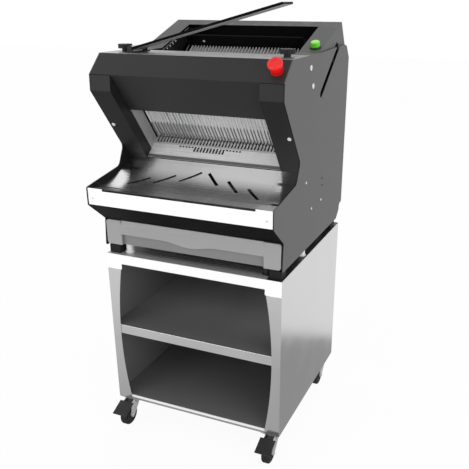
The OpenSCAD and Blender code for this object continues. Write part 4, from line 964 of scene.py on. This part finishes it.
def buildFloor(look):
    floor = startPiece(bpy.ops.mesh.primitive_plane_add, "studioFloor", size=look["size"],
                       location=(0, 0, -look["drop"]))
    material = bpy.data.materials.new("studioFloorPale")
    material.use_nodes = True
    tree = material.node_tree
    tree.nodes.clear()
    plain = addNode(tree, "ShaderNodeBsdfDiffuse", (0, 0), {"Color": colour(look["tone"])})
    glow = addNode(tree, "ShaderNodeEmission", (0, -200))
    path = addNode(tree, "ShaderNodeLightPath", (-500, 200))
    amount = mathNode(tree, "MULTIPLY", (-200, 200), path.outputs["Is Camera Ray"], look["glow"])
    blend = addNode(tree, "ShaderNodeMixShader", (300, 0))
    out = addNode(tree, "ShaderNodeOutputMaterial", (500, 0))
    tree.links.new(amount, blend.inputs["Fac"])
    tree.links.new(plain.outputs["BSDF"], blend.inputs[1])
    tree.links.new(glow.outputs["Emission"], blend.inputs[2])
    tree.links.new(blend.outputs["Shader"], out.inputs["Surface"])
    floor.data.materials.append(material)
    floor.visible_glossy = False  # steel then shows the room round the floor


def roomRamp(tree, at, height, edge, wall, look):  # one wall of the room, from the floor up to the sky
    ramp = addNode(tree, "ShaderNodeValToRGB", at)
    tree.links.new(height, ramp.inputs["Fac"])
    stops = ramp.color_ramp.elements
    stops[0].position = edge - wall["soft"]
    stops[0].color = (wall["low"], wall["low"], wall["low"], 1)
    stops[1].position = edge + wall["soft"]
    stops[1].color = (wall["mid"], wall["mid"], wall["mid"], 1)
    top = stops.new(look["skyAt"])
    top.color = (look["sky"], look["sky"], look["sky"], 1)
    return ramp.outputs["Color"]


def buildWorld(look):
    world = bpy.data.worlds.new("studioRoom")
    bpy.context.scene.world = world
    world.use_nodes = True
    tree = world.node_tree
    tree.nodes.clear()
    path = addNode(tree, "ShaderNodeLightPath", (-700, 400))
    coords = addNode(tree, "ShaderNodeTexCoord", (-1500, 0))
    split = addNode(tree, "ShaderNodeSeparateXYZ", (-1300, 0))
    tree.links.new(coords.outputs["Generated"], split.inputs["Vector"])
    height = rangeNode(tree, (-1100, 0), split.outputs["Z"], -1.0, 1.0)
    turn = rangeNode(tree, (-1100, -300), split.outputs["Y"], -look["turn"], look["turn"])
    edge = 0.5 - look["horizon"] / 2
    front = roomRamp(tree, (-800, -200), height, edge, look["front"], look)
    rear = roomRamp(tree, (-800, 100), height, edge, look["rear"], look)
    walls = mixColours(tree, (-450, 0), turn, front, rear)
    room = addNode(tree, "ShaderNodeBackground", (-200, 0))
    tree.links.new(walls, room.inputs["Color"])
    fill = addNode(tree, "ShaderNodeBackground", (-200, -200),
                   {"Strength": look["fill"], "Color": (1, 1, 1, 1)})
    white = addNode(tree, "ShaderNodeBackground", (-200, 200), {"Strength": 1.0, "Color": (1, 1, 1, 1)})
    shiny = mathNode(tree, "MAXIMUM", (-450, 300), path.outputs["Is Glossy Ray"],
                     path.outputs["Is Transmission Ray"])
    first = addNode(tree, "ShaderNodeMixShader", (100, 0))
    second = addNode(tree, "ShaderNodeMixShader", (300, 100))
    out = addNode(tree, "ShaderNodeOutputWorld", (500, 100))
    tree.links.new(shiny, first.inputs["Fac"])
    tree.links.new(fill.outputs["Background"], first.inputs[1])
    tree.links.new(room.outputs["Background"], first.inputs[2])
    tree.links.new(path.outputs["Is Camera Ray"], second.inputs["Fac"])
    tree.links.new(first.outputs["Shader"], second.inputs[1])
    tree.links.new(white.outputs["Background"], second.inputs[2])
    tree.links.new(second.outputs["Shader"], out.inputs["Surface"])


def addLamp(name, look):
    data = bpy.data.lights.new(name, "AREA")
    data.energy = look["power"]
    data.size = look["size"]
    lamp = bpy.data.objects.new(name, data)
    bpy.context.collection.objects.link(lamp)
    lamp.location = look["at"]
    away = Vector(look["aim"]) - Vector(look["at"])
    lamp.rotation_euler = away.to_track_quat("-Z", "Y").to_euler()


def addCamera(look):
    data = bpy.data.cameras.new("photoCamera")
    data.sensor_width = look["sensor"]
    data.lens = look["lens"]
    data.shift_x, data.shift_y = look["shift"]
    camera = bpy.data.objects.new("photoCamera", data)
    bpy.context.collection.objects.link(camera)
    camera.location = look["at"]
    camera.rotation_euler = (math.radians(look["tilt"]), 0, math.radians(look["turn"]))
    bpy.context.scene.camera = camera


buildFloor(floorLook)
buildWorld(worldLook)
for lampName, lampLook in lamps.items():
    addLamp(lampName, lampLook)
addCamera(cameraLook)
bpy.context.scene.view_settings.view_transform = "Standard"
print("studio and camera ready")
